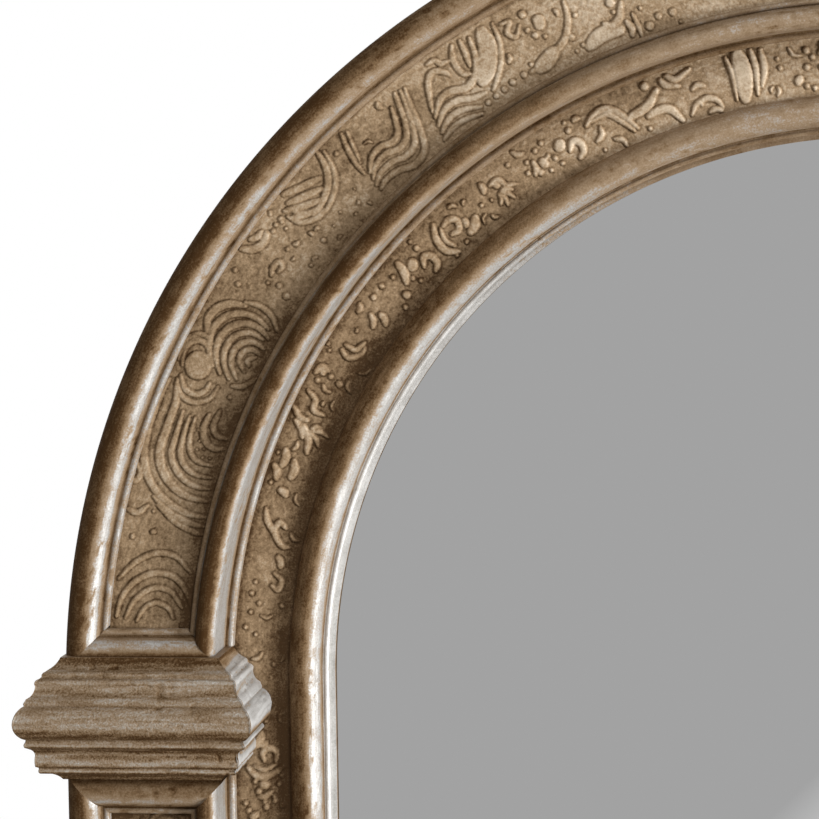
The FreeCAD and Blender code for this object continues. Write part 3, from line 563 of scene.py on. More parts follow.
uprightRolls = {
    "pilaster_outer": ("outer", "pilasterOuter", panelMitre(lines["outerWidth"], 1), 60),
    "pilaster_inner": ("mid", "panelInner", panelMitre(0, -1), 64),
    "sight": ("sight", "friezeEdge", mitred(lines["friezeFoot"], lines["spring"], 1), 68),
}
crossRolls = {  # its level, the way it rises, its trim, where its shade goes from dark to light, its seed
    "cross_roll": ("capitalTop", 1, "crossTrim", ((9.5, 13),), 72),
    "pilaster_top_roll": ("capitalFoot", -1, "panelTrim", ((1, 7), (20, 14.5)), 75),
    "pilaster_foot_roll": ("plinthTop", 1, "panelTrim", ((1, 6),), 78),
}
for side, name in sides:
    for label, (section, edgeName, run, seed) in uprightRolls.items():
        piece = mouldingPiece(f"{label}_moulding_{name}", section, run, uprightPlace(lines[edgeName], side),
                              seed + side, uprightGlaze)
        dress(piece, f"{label}_roll_{name}")
    for label, (level, rising, trimName, shade, seed) in crossRolls.items():
        trim = lines[trimName]
        piece = mouldingPiece(f"{label}_moulding_{name}", "outer", crossRun(trim),
                              trimmedPlace(lines[level], rising, side, trim), seed + side, levelPaintedLight, shade)
        dress(piece, f"{label}_{name}")

sightHalf, sillHalf = lines["friezeEdge"], lines["pilasterInner"]
levelRolls = {
    "sight_roll_bottom": ("sight_moulding_bottom", "sight", mitred(-sightHalf, sightHalf, 1, -1), "friezeFoot", 90),
    "sill_foot_roll": ("sill_foot_moulding", "outer", mitred(-sillHalf, sillHalf), "foot", 93),
    "sill_top_roll": ("sill_top_moulding", "mid", mitred(-sillHalf, sillHalf), "sillTop", 94),
}
for node, (label, section, run, edgeName, seed) in levelRolls.items():
    dress(mouldingPiece(label, section, run, levelPlace(lines[edgeName]), seed, levelPaintedLight), node)
print("upright and cross rolls made")


# capital and plinth faces, mitred round their cores
def blockPiece(name, block, run, place, seed, waxAndHighlight, finish):
    corners = [(out * block["throw"], -down * block["height"], bulge) for down, out, bulge in block["shares"]]
    loop = roundedLoop(corners, steps["blockSection"])
    out, drop = loop.T
    along = stepsAlong(run, out, steps["block"])
    relief, path = raisedShare(loop, out)
    paths = np.broadcast_to(path, along.shape)
    # painted shade under each step, and a painted shadow down from the top, below the roll above
    depth, low, high = wearAndPaintedLight["shadeUnder"]
    relief = wearAndPaintedLight["blockBody"][0] + wearAndPaintedLight["blockBody"][1] * relief
    relief *= 1 - depth * softStep(low, high, -np.gradient(out, path))
    relief *= wearAndPaintedLight["topShadow"][0] + wearAndPaintedLight["topShadow"][1] * softStep(0, block["hollow"], -drop)
    proud = out > 0.2
    reliefs = np.broadcast_to(relief * proud * waxAndHighlight, along.shape)
    lower, reliefs = worn(along, paths, reliefs, seed, **wearAndPaintedLight["block"])
    points = place(along, np.maximum(out - lower * proud, 0), np.broadcast_to(block["top"] + drop, along.shape))
    return sweptPiece(name, points, reliefs, along, paths, finish)


seed = 120
inner, outer, core = lines["pilasterInner"], lines["pilasterOuter"], lines["coreFace"]
for kind, block in blocks.items():
    for side, name in sides:
        piece = blockPiece(f"{kind}_front_moulding_{name}", block, mitred(inner, outer, -1, 1),
                           lambda along, out, z: np.stack((side * along, -(core + out), z), -1), seed,
                           wearAndPaintedLight["blockWax"], capitalFinish)
        dress(piece, f"{kind}_front_{name}")
        # the inner returns carry a painted highlight
        returns = (("outer", outer, 1, lines["boardBack"], wearAndPaintedLight["blockWax"], capitalFinish),
                   ("inner", inner, -1, block["innerBack"], wearAndPaintedLight["returnHighlight"], rollFinish))
        for end, edge, outward, back, waxAndHighlight, finish in returns:
            piece = blockPiece(f"{kind}_{end}_moulding_{name}", block, mitred(back, core, 0, 1),
                               lambda along, out, z: np.stack((side * (edge + out * outward), -along, z), -1),
                               seed + 3, waxAndHighlight, finish)
            dress(piece, f"{kind}_{end}_return_{name}")
            seed += 7
print("capitals and plinths made")

# embossed bands: flat raised strokes with a thin groove round each, on a stippled ground
emboss = {
    "outer": {"rise": 1.35, "edge": 1.9, "wide": 1.75, "pool": 0.45, "poolWidth": 7.0, "rim": 0.3, "width": 48.0,
              "thickness": 44.0, "spread": 330, "small": (0.2, 4.5), "ground": 0.58, "tone": 0.17},
    "inner": {"rise": 1.9, "edge": 2.2, "wide": 1.9, "pool": 0.5, "poolWidth": 12.0, "rim": 0.6, "width": 33.0,
              "thickness": 18.0, "spread": 105, "small": (1.5, 9.0), "ground": 0.52, "tone": 0.32},
    "groove": 0.3, "grooveWidth": 0.55, "grooveTone": 0.3, "stipple": 0.32, "stippleTone": 0.24, "raisedSmooth": 0.6,
    "drift": 0.5, "driftTone": 0.3, "ahead": 110.0, "rimShadowWidth": 3.0, "endWidth": 6.0, "panelEndShadow": 0.5, "paintedShade": 0.18,
    "grainCell": (1.0, 1.0), "coarseCell": (2.7, 2.0), "driftCell": (38, 19), "rubCell": (26, 15),
    "rubbed": (0.6, 0.4), "backTone": 0.2, "bow": 0.14, "thinEnds": (0.45, 0.55), "overhang": 0.8, "spacing": (0.9, 2),
    "margin": 4, "smallHalf": (0.6, 1.2), "smallBow": 0.45, "smallRoom": 1.0,
}

# strokes in millimetres along and across their band: half a width, then the places run through
motifs = {
    "fan": ((1.3, -17.5, -21.6, -5.9, -19, 3.8, -11.3, 8.3, -1.5, 7.1, 9.1, -0.7, 17.5, -12.5, 22.5),
        (1.2, 3.6, -22.5, 13.5, -14.2, 19.9, -3.4, 19.3, 8.7, 10.4, 19.1),
        (1.2, -18.4, -16.3, -7.8, -11.4, -0.6, -1.8, -2.1, 8.8, -11.7, 16.5),
        (1.1, -19.9, -9.5, -12.9, -5.7, -9.2, 0.6, -12, 8.3, -18.4, 11.9)),
    "bows": (
        (1.5, 41.9, -22.1, 28.6, -23.5, 15.3, -23.4, 1.2, -21.8, -10.6, -17.3, -20, -9.3, -26.8, 1.6, -30.6, 13.1,
         -31, 23.1),
        (1.7, 41.7, -17.2, 31.1, -13.5, 16.1, -13.1, 3.4, -13, -6.6, -9.3, -14.8, -1.5, -20.1, 9, -20.9, 22.2),
        (1.3, 27.3, -7.7, 13.8, -6.8, 3.4, -6.3, -4.4, -2.3, -10.5, 4.9, -13.4, 13.3, -13.1, 21.7),
        (1.2, 26, -3.1, 12.4, -2.4, 3.7, -1, -2.6, 3.3, -6.4, 10.6, -6.3, 20.5),
        (1.1, 25.9, 0.4, 13.8, 1.5, 5.6, 4.6, 1.4, 10.5, 1, 19.1),
        (1.4, 30.3, 7.4, 21.5, 7.1, 14.9, 10.4, 11.6, 16.5, 13.3, 22.9),
        (1.3, 34.1, 12.2, 25.1, 12, 20.1, 15.5, 19.3, 21.7),
        (1.3, -24.4, -8.9, -31.8, 2.8, -35.7, 14.3, -36.9, 23.9),
        (1.2, -28.7, -5.5, -36.8, 7, -40.9, 18.4, -41.9, 24.3),
        (1, 39.7, -23.5, 32.8, -24.1, 22.7, -23.4, 17.6, -24.3),
        (1.2, -8, -23.4, -12.7, -19.7, -17.6, -21.4, -16.1, -24.1),
        (1.2, -33.6, -22.5, -35, -16.1, -30.1, -11.2), (1.1, 19.7, 4.6), (1, 13.7, 7.4), (1.1, 8.2, 7.6),
        (1, 9.6, 11.3), (1.1, 4.4, 12.2), (1, 5.1, 16.3)),
    "eye": ((4.6, 3.3, -2.8, -0.3, -0.5),
        (1.2, -1.4, -9.6, 5.8, -12.2, 11.9, -10.9, 15.1, -6, 13.3, -0.2, 8.2, 3.9),
        (1.1, 0.9, -13, 8.6, -14.5, 15.7, -11.6, 18.9, -5.6, 16.1, 1.2),
        (1.2, -6.9, -8.1, -13.1, -3, -14.3, 3.9, -10.3, 8.6, -5.2, 9.2),
        (1.1, -9.7, -9.3, -17.7, -3, -18.9, 5.1, -14.1, 12.6, -5.6, 14.5)),
    "hooks": ((1.4, -18.4, -5.5, -10.2, -11.6, -0, -15, 9.3, -12.7, 15.5, -6.2, 17.9, 3.3, 15.4, 13.2),
        (1.4, -20.9, -0, -11.5, -7, -2, -9.1, 6.5, -6.6, 12.1, -0.1, 13.1, 8.6, 10.2, 16.1),
        (1.3, -21.9, 6.1, -13.3, -1.2, -3.9, -3.5, 3.9, -1, 8.4, 5.4, 8.2, 13.5),
        (1.3, -20.3, 10.3, -13, 3.6, -5.3, 1.7, 1, 3.9, 4.3, 10, 3.3, 16.8),
        (1.2, -14.3, 12.3, -9.1, 6.9, -3.2, 6.9, -0.1, 11.5, -1.1, 17),
        (1.1, -9.9, 13.5, -7.1, 11.3, -3.6, 14.5),
        (1.6, -2, -17.2, 5.1, -20.3, 12.4, -18.7, 18.2, -12.9, 21.1, -5.3),
        (1.2, 22.9, -6.4, 25.1, 2.5, 23, 11.4, 16.8, 18.3), (1.2, -25.1, 9.7, -22.6, 15.8, -15.4, 20.3)),
    "curls": ((2.5, -8.4, 18.4), (2, -5.2, 11.6), (1.5, 15.4, 3.4), (1.9, -16.4, -8.9), (1.4, -7.3, 5.1),
        (1.2, -2.5, 4.5, 2.3, 2.5, 6.8, 3.9, 5, 7, 1.2, 6.7),
        (1.6, 1.3, -18.4, 5, -12.2, 11.7, -10, 16.4, -11.8), (1.3, 8.2, -17.3, 11.8, -14.6, 15.1, -14.8)),
    "pebbles": ((1.8, -7.4, -4.6), (1.4, -7.6, -11.8), (1.7, -15.3, -3.8), (1.3, -10.1, 1.2),
        (1.3, 0.3, -4.4, 2.2, 3.4, 8.8, 8.1, 15.3, 7.7), (1.2, -4.1, -2.2, -2.3, 5.5, 4.6, 10.7, 13.5, 11.8)),
    "leaf": ((1.4, 21.5, -13.3, 19.3, -5.5, 14.5, 1.8, 7.3, 6.6, -1.6, 9, -7.1, 9.2),
        (1.2, 24.2, -10.4, 21.2, -1.4, 16.9, 5.4, 9, 10.5, 1, 12.8, -6.2, 13.3),
        (1.5, -8.1, -11.5, 1.4, -6.2, 11.5, -1.9), (1.5, -10.4, -6.3, -1.7, -1.6, 7.4, 2.8),
        (1.4, -15, -4.9, -7.1, 1.2, 2.5, 6.7), (1.3, -15.7, 0.6, -9.9, 5.5, -4.2, 8.2), (1.6, -24.2, -4.2),
        (1.7, -20.8, -2.7), (1.4, -21.2, -10.3)),
    "stems": ((1.1, 19.6, -19.1, 16.1, -10.3, 13.3, -1.1, 12.4, 6.5), (0.9, 22.7, -17.6, 18.9, -8, 15.4, 0.6),
        (1, 1.9, 8.6), (1.1, -14, 11.5), (1, -22.7, 13.9), (1.2, -8.9, 19.1)),
    "waves": ((1.3, -22.1, 4.9, -15.3, -0.5, -7.8, -1.8, -0.5, 0.9, 5.5, -1.1, 9.3, -7.1, 12.2, -14),
        (1.3, -23.6, 8.8, -16.2, 4, -7.7, 3.5, -0.3, 6.2, 7.3, 4.2, 13.2, -3.9, 17.5, -15, 19, -19.2),
        (1.3, -24.9, 12.6, -17.9, 9.3, -7.9, 9.5, -0.4, 12.2, 7.9, 10.6, 14.7, 1, 19.3, -9.9, 22.2, -18.4),
        (1.4, -24.6, 15.9, -17.7, 14.3, -8.7, 15.6, 0.1, 19.2, 10.5, 16.5, 17, 4.7, 20.8, -6.8, 24.9, -18)),
    "flames": ((1.3, -25.3, 3, -20.9, -5.2, -16.2, -12.3, -11.2, -14.7, -6.6, -11.4, -4.9, -7.6),
        (1.5, -26.1, 6.8, -17.7, 0.6, -10.2, -0, -1.2, 3.5, 6.9, 0.4, 12.8, -7.6, 15.7, -19.1),
        (1.4, -27.6, 11.5, -19.6, 6.7, -10.4, 6.4, -1.6, 10.5, 6.1, 12.1),
        (1.3, -28.7, 16, -21.3, 12.5, -11.9, 12.3, -0.9, 17.1),
        (1.2, -30.5, 20.1, -22.6, 17.8, -13.5, 18, -2.7, 20.9),
        (1.3, 5.5, -20.9, 1.5, -13.4, 1.5, -4.9, 4.9, -1.8), (1.2, 10.6, -20.8, 9.2, -12.4, 7.4, -5.7),
        (1.1, -11.6, -20.2, -6.9, -19.7, -5.1, -16, -0.2, -14.6),
        (3.4, 23.3, -18.4, 21.4, -8.9, 15, 0.5, 8.6, 5.7),
        (1.2, 30.5, -19.4, 28.9, -8.4, 23.7, 1.6, 17, 8.7, 10.7, 13.2)),
    "beads": ((2.1, -24.7, 17.1), (2.1, -18.5, 16.4), (2.2, -12.2, 15.7), (2.3, -5.9, 14.7), (2.2, 2.1, 14.3),
        (1.7, 8.9, 11.2), (1.1, 5.4, -17.1, 10.3, -15.9, 6.1, -11.1, 9.4, -6.8, 14.2, -11.4),
        (2.5, 18.3, -16.3), (3.8, 24.7, -8.9, 24.4, -6.7), (2.3, 19.3, -2.2), (1.6, 23.8, 0.9),
        (1.8, 16.6, -6.9)),
    "sprig": ((1.4, 0.7, -17.8, -1.2, -7.9, -7.2, 1, -14.9, 5.2, -26.1, 9.1, -34.8, 9.5),
        (2.9, -16.6, 5.2, -23.2, 8.3, -29.1, 10), (2.3, -3.9, 2.5), (1.7, 0.2, 9.1), (1.4, -4.6, 10.8),
        (2.8, 3.3, 11.2, 13.7, 7.8, 24, 9.5), (1.6, 29.9, -4.9, 26.2, 2.8, 19.6, 5.6, 16.5, 2.8),
        (1.1, 33.9, 3.3, 34.7, 11.1, 34.8, 17.8), (1.4, 29.2, 6.2, 29.5, 14.8), (3, 24.3, -7), (1.6, 24, -1.4)),
    "pair": ((3, -8.3, 4), (2.4, -1.5, 0.3), (1.5, -10, -7.2), (2.6, 7.1, 0.5), (1.3, 10, 7.2)),
    "budStem": ((1.6, -6.3, -6.3), (1.8, -13.1, -7.6), (1.8, -18.3, -2.5), (1.6, -24.1, -7.1),
        (1.7, -33.1, -9.4), (1.5, -36.9, -3.1), (1.2, 0.7, 4, -2.9, 9.1, -8.6, 7.6, -6.9, 3.6),
        (1.3, 36.9, -9, 30.2, -6.3, 25.4, -1.4, 18.2, 4.8, 18.1, 9.4), (1.2, 25.4, -1.4, 31.1, 1.1, 28.7, 5.4),
        (1.4, 10.8, 4.5, 5.1, 7)),
    "leafSpray": ((1.5, -28.8, -2.8, -30.8, 1.5), (1.6, -10, -0.3, -20.1, 0.9), (1.5, -5.7, -7.2, -15, -6.4),
        (1.4, -16.2, -10.7, -23.3, -7.1), (1.4, 11.7, -3.2, 5.1, 2.8, -2.7, 4.9), (1.3, 12.1, -8.6, 4.8, -0.9),
        (1, 10, 2, 11, 13.7), (1, 8.6, 2.3, 3.3, 10), (1, 11.6, 2, 14.3, 6.6),
        (1.2, 19.5, -13.7, 15.1, -7, 15.2, -1.9), (1.2, 30.8, -9.5, 27.9, -3.1, 22.1, -1.5, 21.8, 5.2),
        (1.5, -26.4, -9.5), (1.4, -8.7, -11.1)),
    "flower": ((2.4, -11, -4), (2, -16.6, -4.6), (2.4, -12.4, 7.7), (2.1, -11, 1.4),
        (1.3, -13.2, -7.9, -8.7, -6.3, -8.7, -1.6), (1.2, 5.7, -1.2, 3.9, 4.2, 8.8, 9.6, 14.3, 10),
        (1.1, 9.3, -0.9, 10.1, 5.7, 16.6, 8.1), (1.6, 4.5, -10), (1.4, 1.7, -7.2)),
    "budCluster": ((2.1, 3.3, -7.2), (2.1, -4.7, -6.9), (1.6, 19, -8.5, 17.8, -2.2, 14.1, 2.9),
        (2.8, 8.6, 7.4), (1.7, 11.3, -5.3), (1.2, -13.6, -2.4, -19, 3.2), (1.4, -10.1, 2.3, -13.2, 8.5)),
    "scrollC": ((1.4, -11.8, -10.9, -16.4, -2.8, -16.7, 5.2, -11.4, 10.9),
        (1, -10.2, -6.3, -12.8, 0.7, -10.8, 7), (1.3, -8.1, -6.3, -2.9, -6.7, 0.1, -2.8, -2.8, 1.7, -7.7, 0.7),
        (1.8, 9.4, 2.6, 1.3, 7.2), (1.3, 3.4, -0.6, 2.1, 3.1), (1.6, 16.7, -0.4)),
    "fanSpray": ((1.2, -9.1, -9.7, -10.2, -4.3), (1.2, -5, -5.6, 0.4, -5.5, 2.5, -0.7), (2.4, -1.9, -3.3),
        (0.9, -2.6, 1.3, 4.1, 4.1), (0.9, -2.8, 1.5, 2.3, 8.5), (0.9, -3.4, 1.8, -3.5, 9.7),
        (0.9, -3.8, 1.4, -6.6, 7), (0.9, -1.8, 0.8, 8.5, 3.1), (1.7, 10.2, -9), (1.3, -9.3, 1.6)),
    "blossom": ((1.9, 2.5, -6.4), (1.9, 7.7, -8.3), (1.7, -5.1, -3.3), (1.9, -7.7, 2.4), (2.3, -1.4, 6.1),
        (1.7, 4.8, 8.3), (1.5, 6, 0.9), (1.2, -2, -1.5, -4.7, 5.7), (1.6, 2.5, 0.9, 3.2, 3.9)),
    "petalHook": ((1.5, 1.7, -12.6), (2.1, 1.6, -7.4), (1.9, -5.9, -3.8, -8.3, -1.5), (1.9, -12.7, 2.6),
        (1.7, -10.5, 7.3), (1.4, -3, 3.3, 0.9, -0.7, 4.4, 2.1, 3.9, 7.5, 0, 9.9), (1.6, -15.5, -0.7),
        (1.4, 15.5, 12.6)),
    "crescents": ((1.3, -26.8, -5.9, -19.7, -10, -12.3, -9.8, -6.2, -3.8, 0.1, 8),
        (1.1, -22.7, -6.9, -13.6, -6.9, -9, -1.8, -2.5, 8.6),
        (1.7, -3.1, 0.6, 3.6, -0.3, 10.9, -2.3, 17.8, -8.5), (1.6, 8.1, 4, 14.8, 2.9, 21.7, 4.5, 26.8, 13.1),
        (1.7, 6.6, 10.8), (2.8, 12.3, -13.1)),
    "smallArcs": ((1.2, -15.1, -13.1, -13.4, -9.4, -6.1, -6.3), (1.2, -11.7, -14.3, -6.5, -10.6, 2.1, -13.9),
        (1.2, -4, 11.9, 0.8, 6.7, 7.9, 5.2, 12.7, 7.7, 15.1, 12.5), (1.1, 6.8, 13.5, 10.8, 12.5, 14, 14.3),
        (1.6, 3.5, 7.8)),
    "ties": ((1, -10.2, -11.8, -8.4, -2, -9, 13.2), (3, -3.3, -12.3, -2.3, -0.6, -3.8, 13.2),
        (1.2, 4.1, -13.2, 5.3, -2.5, 3.9, 12.4), (1.3, 9.6, -12.1, 10.2, -1.5, 7.1, 8.3)),
    "dots": ((1.6, -9.9, -8.2), (1.8, -9, -2.9), (2.3, 6.8, -11.1), (2, 9.9, -6.7), (2.3, 6.3, -1.4),
        (1.5, 0.1, 7.1, 2.2, 4.7), (2, 5.1, 9.4), (1.9, 9.7, 11.1)),
}

# where each motif sits: millimetres up the side of the arch and from the outer edge
layouts = {"outer": (
    ("fan", 60.9, 25.1), ("bows", 137.5, 22.9), ("eye", 190.7, 14.1), ("hooks", 213.8, 26.2),
    ("curls", 260.3, 19.8), ("pebbles", 294.9, 14.1), ("leaf", 307.5, 13.5), ("stems", 325.5, 21.9),
    ("waves", 362.8, 25.3), ("flames", 416.8, 24.3), ("beads", 445.6, 24.8), ("sprig", 486.7, 30.3),
    ("pair", 536, 39.3), ("leaf", 566, 22), ("pebbles", 598, 26), ("eye", 636, 22),
), "inner": (
    ("budStem", 64.4, 15.2), ("leafSpray", 142.9, 13.9), ("flower", 198, 11.3), ("budCluster", 243.9, 15),
    ("scrollC", 304.6, 16.8), ("fanSpray", 337.2, 16), ("blossom", 362.2, 15.3), ("petalHook", 385.3, 16.2),
    ("crescents", 424, 17.3), ("smallArcs", 460.9, 17.2), ("ties", 494.1, 14.5), ("dots", 522.1, 17.3),
    ("petalHook", 275, 16), ("blossom", 550, 16),
)}


def newBand(length, style, step):
    along = np.linspace(0, length, int(length / step) + 1)
    across = np.linspace(0, style["width"], int(style["width"] / step) + 1)
    return {"along": along, "across": across, "gap": np.full((len(along), len(across)), 9.0), "style": style}


def softCurve(points):
    # smooth run through the places given
    ends = np.concatenate((2 * points[:1] - points[1:2], points, 2 * points[-1:] - points[-2:-1]))
    share = np.linspace(0, 1, 6, endpoint=False)[:, None]
    runs = []
    for k in range(len(points) - 1):
        p, q, r, t = ends[k:k + 4]
        runs.append(0.5 * (2 * q + (r - p) * share + (2 * p - 5 * q + 4 * r - t) * share ** 2
                           + (3 * q - p - 3 * r + t) * share ** 3))
    return np.concatenate((*runs, points[-1:]))


def raiseStroke(band, points, half):
    # keeps for every place of the band how far it lies outside the nearest stroke
    if len(points) == 2 and np.hypot(*(points[1] - points[0])) > 3:
        bow = (points[1] - points[0])[::-1] * (emboss["bow"], -emboss["bow"])
        points = np.array((points[0], points.mean(0) + bow, points[1]))
    if len(points) > 2:
        points = softCurve(points)
        half = half * band["style"]["wide"]
    last = max(1, len(points) - 2)
    for k in range(max(1, len(points) - 1)):
        p = points[k]
        q = points[min(k + 1, len(points) - 1)]
        wide = half
        if last > 1:  # a stroke thins towards its ends
            base, gain = emboss["thinEnds"]
            wide = half * (base + gain * math.sqrt(math.sin(math.pi * (k + 0.5) / (last + 1))))
        low = np.minimum(p, q) - wide - 3
        high = np.maximum(p, q) + wide + 3
        rows = slice(*np.searchsorted(band["along"], (low[0], high[0])))
        cols = slice(*np.searchsorted(band["across"], (low[1], high[1])))
        a = band["along"][rows][:, None] - p[0]
        c = band["across"][cols][None, :] - p[1]
        step = q - p
        share = np.clip((a * step[0] + c * step[1]) / max(step @ step, 1e-9), 0, 1)
        gap = np.hypot(a - step[0] * share, c - step[1] * share) - wide
        band["gap"][rows, cols] = np.minimum(band["gap"][rows, cols], gap)


def placeMotif(band, name, along, across, flipAlong=1, flipAcross=1):
    for half, *places in motifs[name]:
        points = np.array(places).reshape(-1, 2) * (flipAlong, flipAcross) + (along, across)
        raiseStroke(band, points, half)


def motifSize(name):
    points = np.concatenate([np.array(places).reshape(-1, 2) for half, *places in motifs[name]])
    return np.ptp(points, axis=0)


def fillBand(band, start, end, layout, seed):
    # carries the motifs on along a band, turned over at random
    draw = np.random.default_rng(seed)
    names = [name for name, along, across in layout]
    place = start
    while True:
        name = names[draw.integers(len(names))]
        length, width = motifSize(name)
        if place + length * emboss["overhang"] > end:
            break
        room = max(0, band["across"][-1] - width) / 2
        across = band["across"][-1] / 2 + draw.uniform(-1, 1) * room
        placeMotif(band, name, place + length / 2, across, *draw.choice((-1, 1), 2))
        place += length * emboss["spacing"][0] + emboss["spacing"][1]


def scatterSmall(band, seed):
    # small beads and curved leaves on the ground that the motifs leave free
    draw = np.random.default_rng(seed)
    style, margin = band["style"], emboss["margin"]
    (short, long), (thin, thick) = style["small"], emboss["smallHalf"]
    length, width = band["along"][-1], band["across"][-1]
    for k in range(int(length * width / style["spread"])):
        spot = draw.uniform((margin, margin), (length - margin, width - margin))
        turn, reach, half = draw.uniform((0, short, thin), (math.tau, long, thick))
        tip = reach / 2 * np.array((math.cos(turn), math.sin(turn)))
        bow = tip[::-1] * (emboss["smallBow"], -emboss["smallBow"])
        run = np.array((spot - tip, spot + bow, spot + tip))
        rows = np.searchsorted(band["along"], run[:, 0]).clip(0, len(band["along"]) - 1)
        cols = np.searchsorted(band["across"], run[:, 1]).clip(0, len(band["across"]) - 1)
        if band["gap"][rows, cols].min() > half + emboss["smallRoom"]:
            raiseStroke(band, run, half)


def makeBand(kind, length, smallSeed, fill=None):
    # the motifs as the layout has them, or carried on between two places where fill gives them and a seed
    band = newBand(length, emboss[kind], steps["band" if fill else "archBand"])
    if fill:
        start, end, seed = fill
        fillBand(band, start, end, layouts[kind], seed)
    else:
        for motif, along, across in layouts[kind]:
            placeMotif(band, motif, along, across)
    scatterSmall(band, smallSeed)
    return band


def finishBand(band, seed, paintedLightAlong, ends=0.0):
    style = band["style"]
    a, c = np.meshgrid(band["along"], band["across"], indexing="ij")
    inside = np.clip(-band["gap"] / style["edge"], 0, 1)
    raised = np.sqrt(1 - (1 - inside) ** 2)
    groove = np.exp(-(band["gap"] / emboss["grooveWidth"]) ** 2)
    cells = ("grainCell", "coarseCell", "driftCell", "rubCell")
    grains, coarse, drift, rub = (latticeNoise(a, c, *emboss[cell], seed + k) for k, cell in enumerate(cells))
    grains, coarse, drift = grains - 0.5, coarse - 0.5, drift - 0.5
    base, gain = emboss["rubbed"]
    rubbed = base + gain * rub
    height = (raised * rubbed - 1) * style["rise"] - groove * emboss["groove"]
    height += (grains + coarse) * emboss["stipple"] * (1 - emboss["raisedSmooth"] * raised)
    band["height"] = height + drift * emboss["drift"]
    relief = style["ground"] + style["tone"] * raised * rubbed - emboss["grooveTone"] * groove
    relief = relief + grains * emboss["stippleTone"] + coarse * emboss["stippleTone"] + drift * emboss["driftTone"]
    # painted shadow beside the inner roll, a little at the outer edge and at the ends of a panel, with painted shade
    # over the whole band; all but the ends fade towards the crown
    pool = np.exp(-((style["width"] - c) / style["poolWidth"]) ** 2)
    pool = pool + style["rim"] * np.exp(-(c / emboss["rimShadowWidth"]) ** 2)
    nearEnd = np.exp(-(np.minimum(a, band["along"][-1] - a) / emboss["endWidth"]) ** 2)
    paintedShade = (style["pool"] * pool + emboss["paintedShade"]) * paintedLightAlong(a + emboss["ahead"])
    band["relief"] = np.clip(relief - ends * nearEnd - paintedShade, 0, 1)


def bandPiece(name, band, run, place, start=0.0):
    # sheet with the band's relief on its face and a plain back
    thickness = band["style"]["thickness"]
    rows = slice(int(np.searchsorted(band["along"], start)), None)
    along = band["along"][rows] - band["along"][rows][0]
    first, last = run(band["across"])
    runs = first[None, :] + (last - first)[None, :] * (along / along[-1])[:, None]
    ways = np.broadcast_to(band["across"], runs.shape)
    height = band["height"][rows]
    count, wide = height.shape
    flat = np.zeros((count, 1))
    faces = (place(runs, ways, thickness + height), place(runs[:, :1], ways[:, :1], flat),
             place(runs[:, -1:], ways[:, -1:], flat))
    points = np.concatenate([face.reshape(-1, 3) for face in faces])
    row = np.arange(count - 1)[:, None] * wide
    col = np.arange(wide - 1)[None, :]
    front = np.stack((row + col, row + col + 1, row + wide + col + 1, row + wide + col), -1).reshape(-1, 4)
    k = np.arange(count - 1)
    left, right = count * wide + k, count * wide + count + k
    sideLeft = np.stack((left, k * wide, (k + 1) * wide, left + 1), -1)
    sideRight = np.stack((k * wide + wide - 1, right, right + 1, (k + 1) * wide + wide - 1), -1)
    back = np.stack((right, left, left + 1, right + 1), -1)
    lastRow = (count - 1) * wide
    caps = ([count * wide + count, *range(wide - 1, -1, -1), count * wide],
            [count * wide + count - 1, *range(lastRow, lastRow + wide), count * wide + 2 * count - 1])
    relief = np.concatenate((band["relief"][rows].ravel(), np.full(2 * count, emboss["backTone"])))
    uv = np.concatenate((np.stack((runs, ways), -1).reshape(-1, 2),
                         np.stack((runs[:, 0], ways[:, 0] - thickness), -1),
                         np.stack((runs[:, -1], ways[:, -1] + thickness), -1)))
    return addPiece(name, points, np.concatenate((front, sideLeft, sideRight, back)), caps, relief, uv, bandFinish, 70)


def archRun(edge, rise):
    # from a level line that high above the spring to the crown
    middle = bendRadius(edge)
    return lambda across: (np.arcsin(rise / (edge - across)) * middle, np.full_like(across, quarterTurn * middle))


archBands = {  # edge, rise of the foot over the spring, seeds of the small strokes and the ground
    "outer_frieze_arch": ("outer_band", "outer", "panelOuter",
                          lines["capitalTop"] + lines["crossWidth"] - lines["spring"], 300, 200),
    "inner_frieze_arch": ("inner_arch_band", "inner", "pilasterInner", 0.0, 310, 210),
}
panelLow, panelHigh = lines["plinthTop"] + lines["panelRollWidth"], lines["capitalFoot"] - lines["panelRollWidth"]
uprightBands = {  # edge, foot and head, slope of the mitred foot, first motif, seeds, painted shadow at the ends
    "inner_frieze": ("inner_band", "inner", "pilasterInner", lines["plinthTop"], lines["spring"], 1, 20,
                     (31, 320, 213), 0.0),
    "pilaster_panel": ("pilaster_band", "outer", "panelOuter", panelLow, panelHigh, 0, 0, (41, 330, 220),
                       emboss["panelEndShadow"]),
}
levelBands = {  # lower edge, slope of the mitres, first motif, seeds
    "inner_frieze_bottom": ("inner_band_bottom", "inner", lines["plinthTop"], 1, 25, (51, 340, 230)),
    "sill_panel": ("sill_band", "outer", lines["foot"] + lines["outerWidth"], 0, 0, (53, 343, 233)),
}
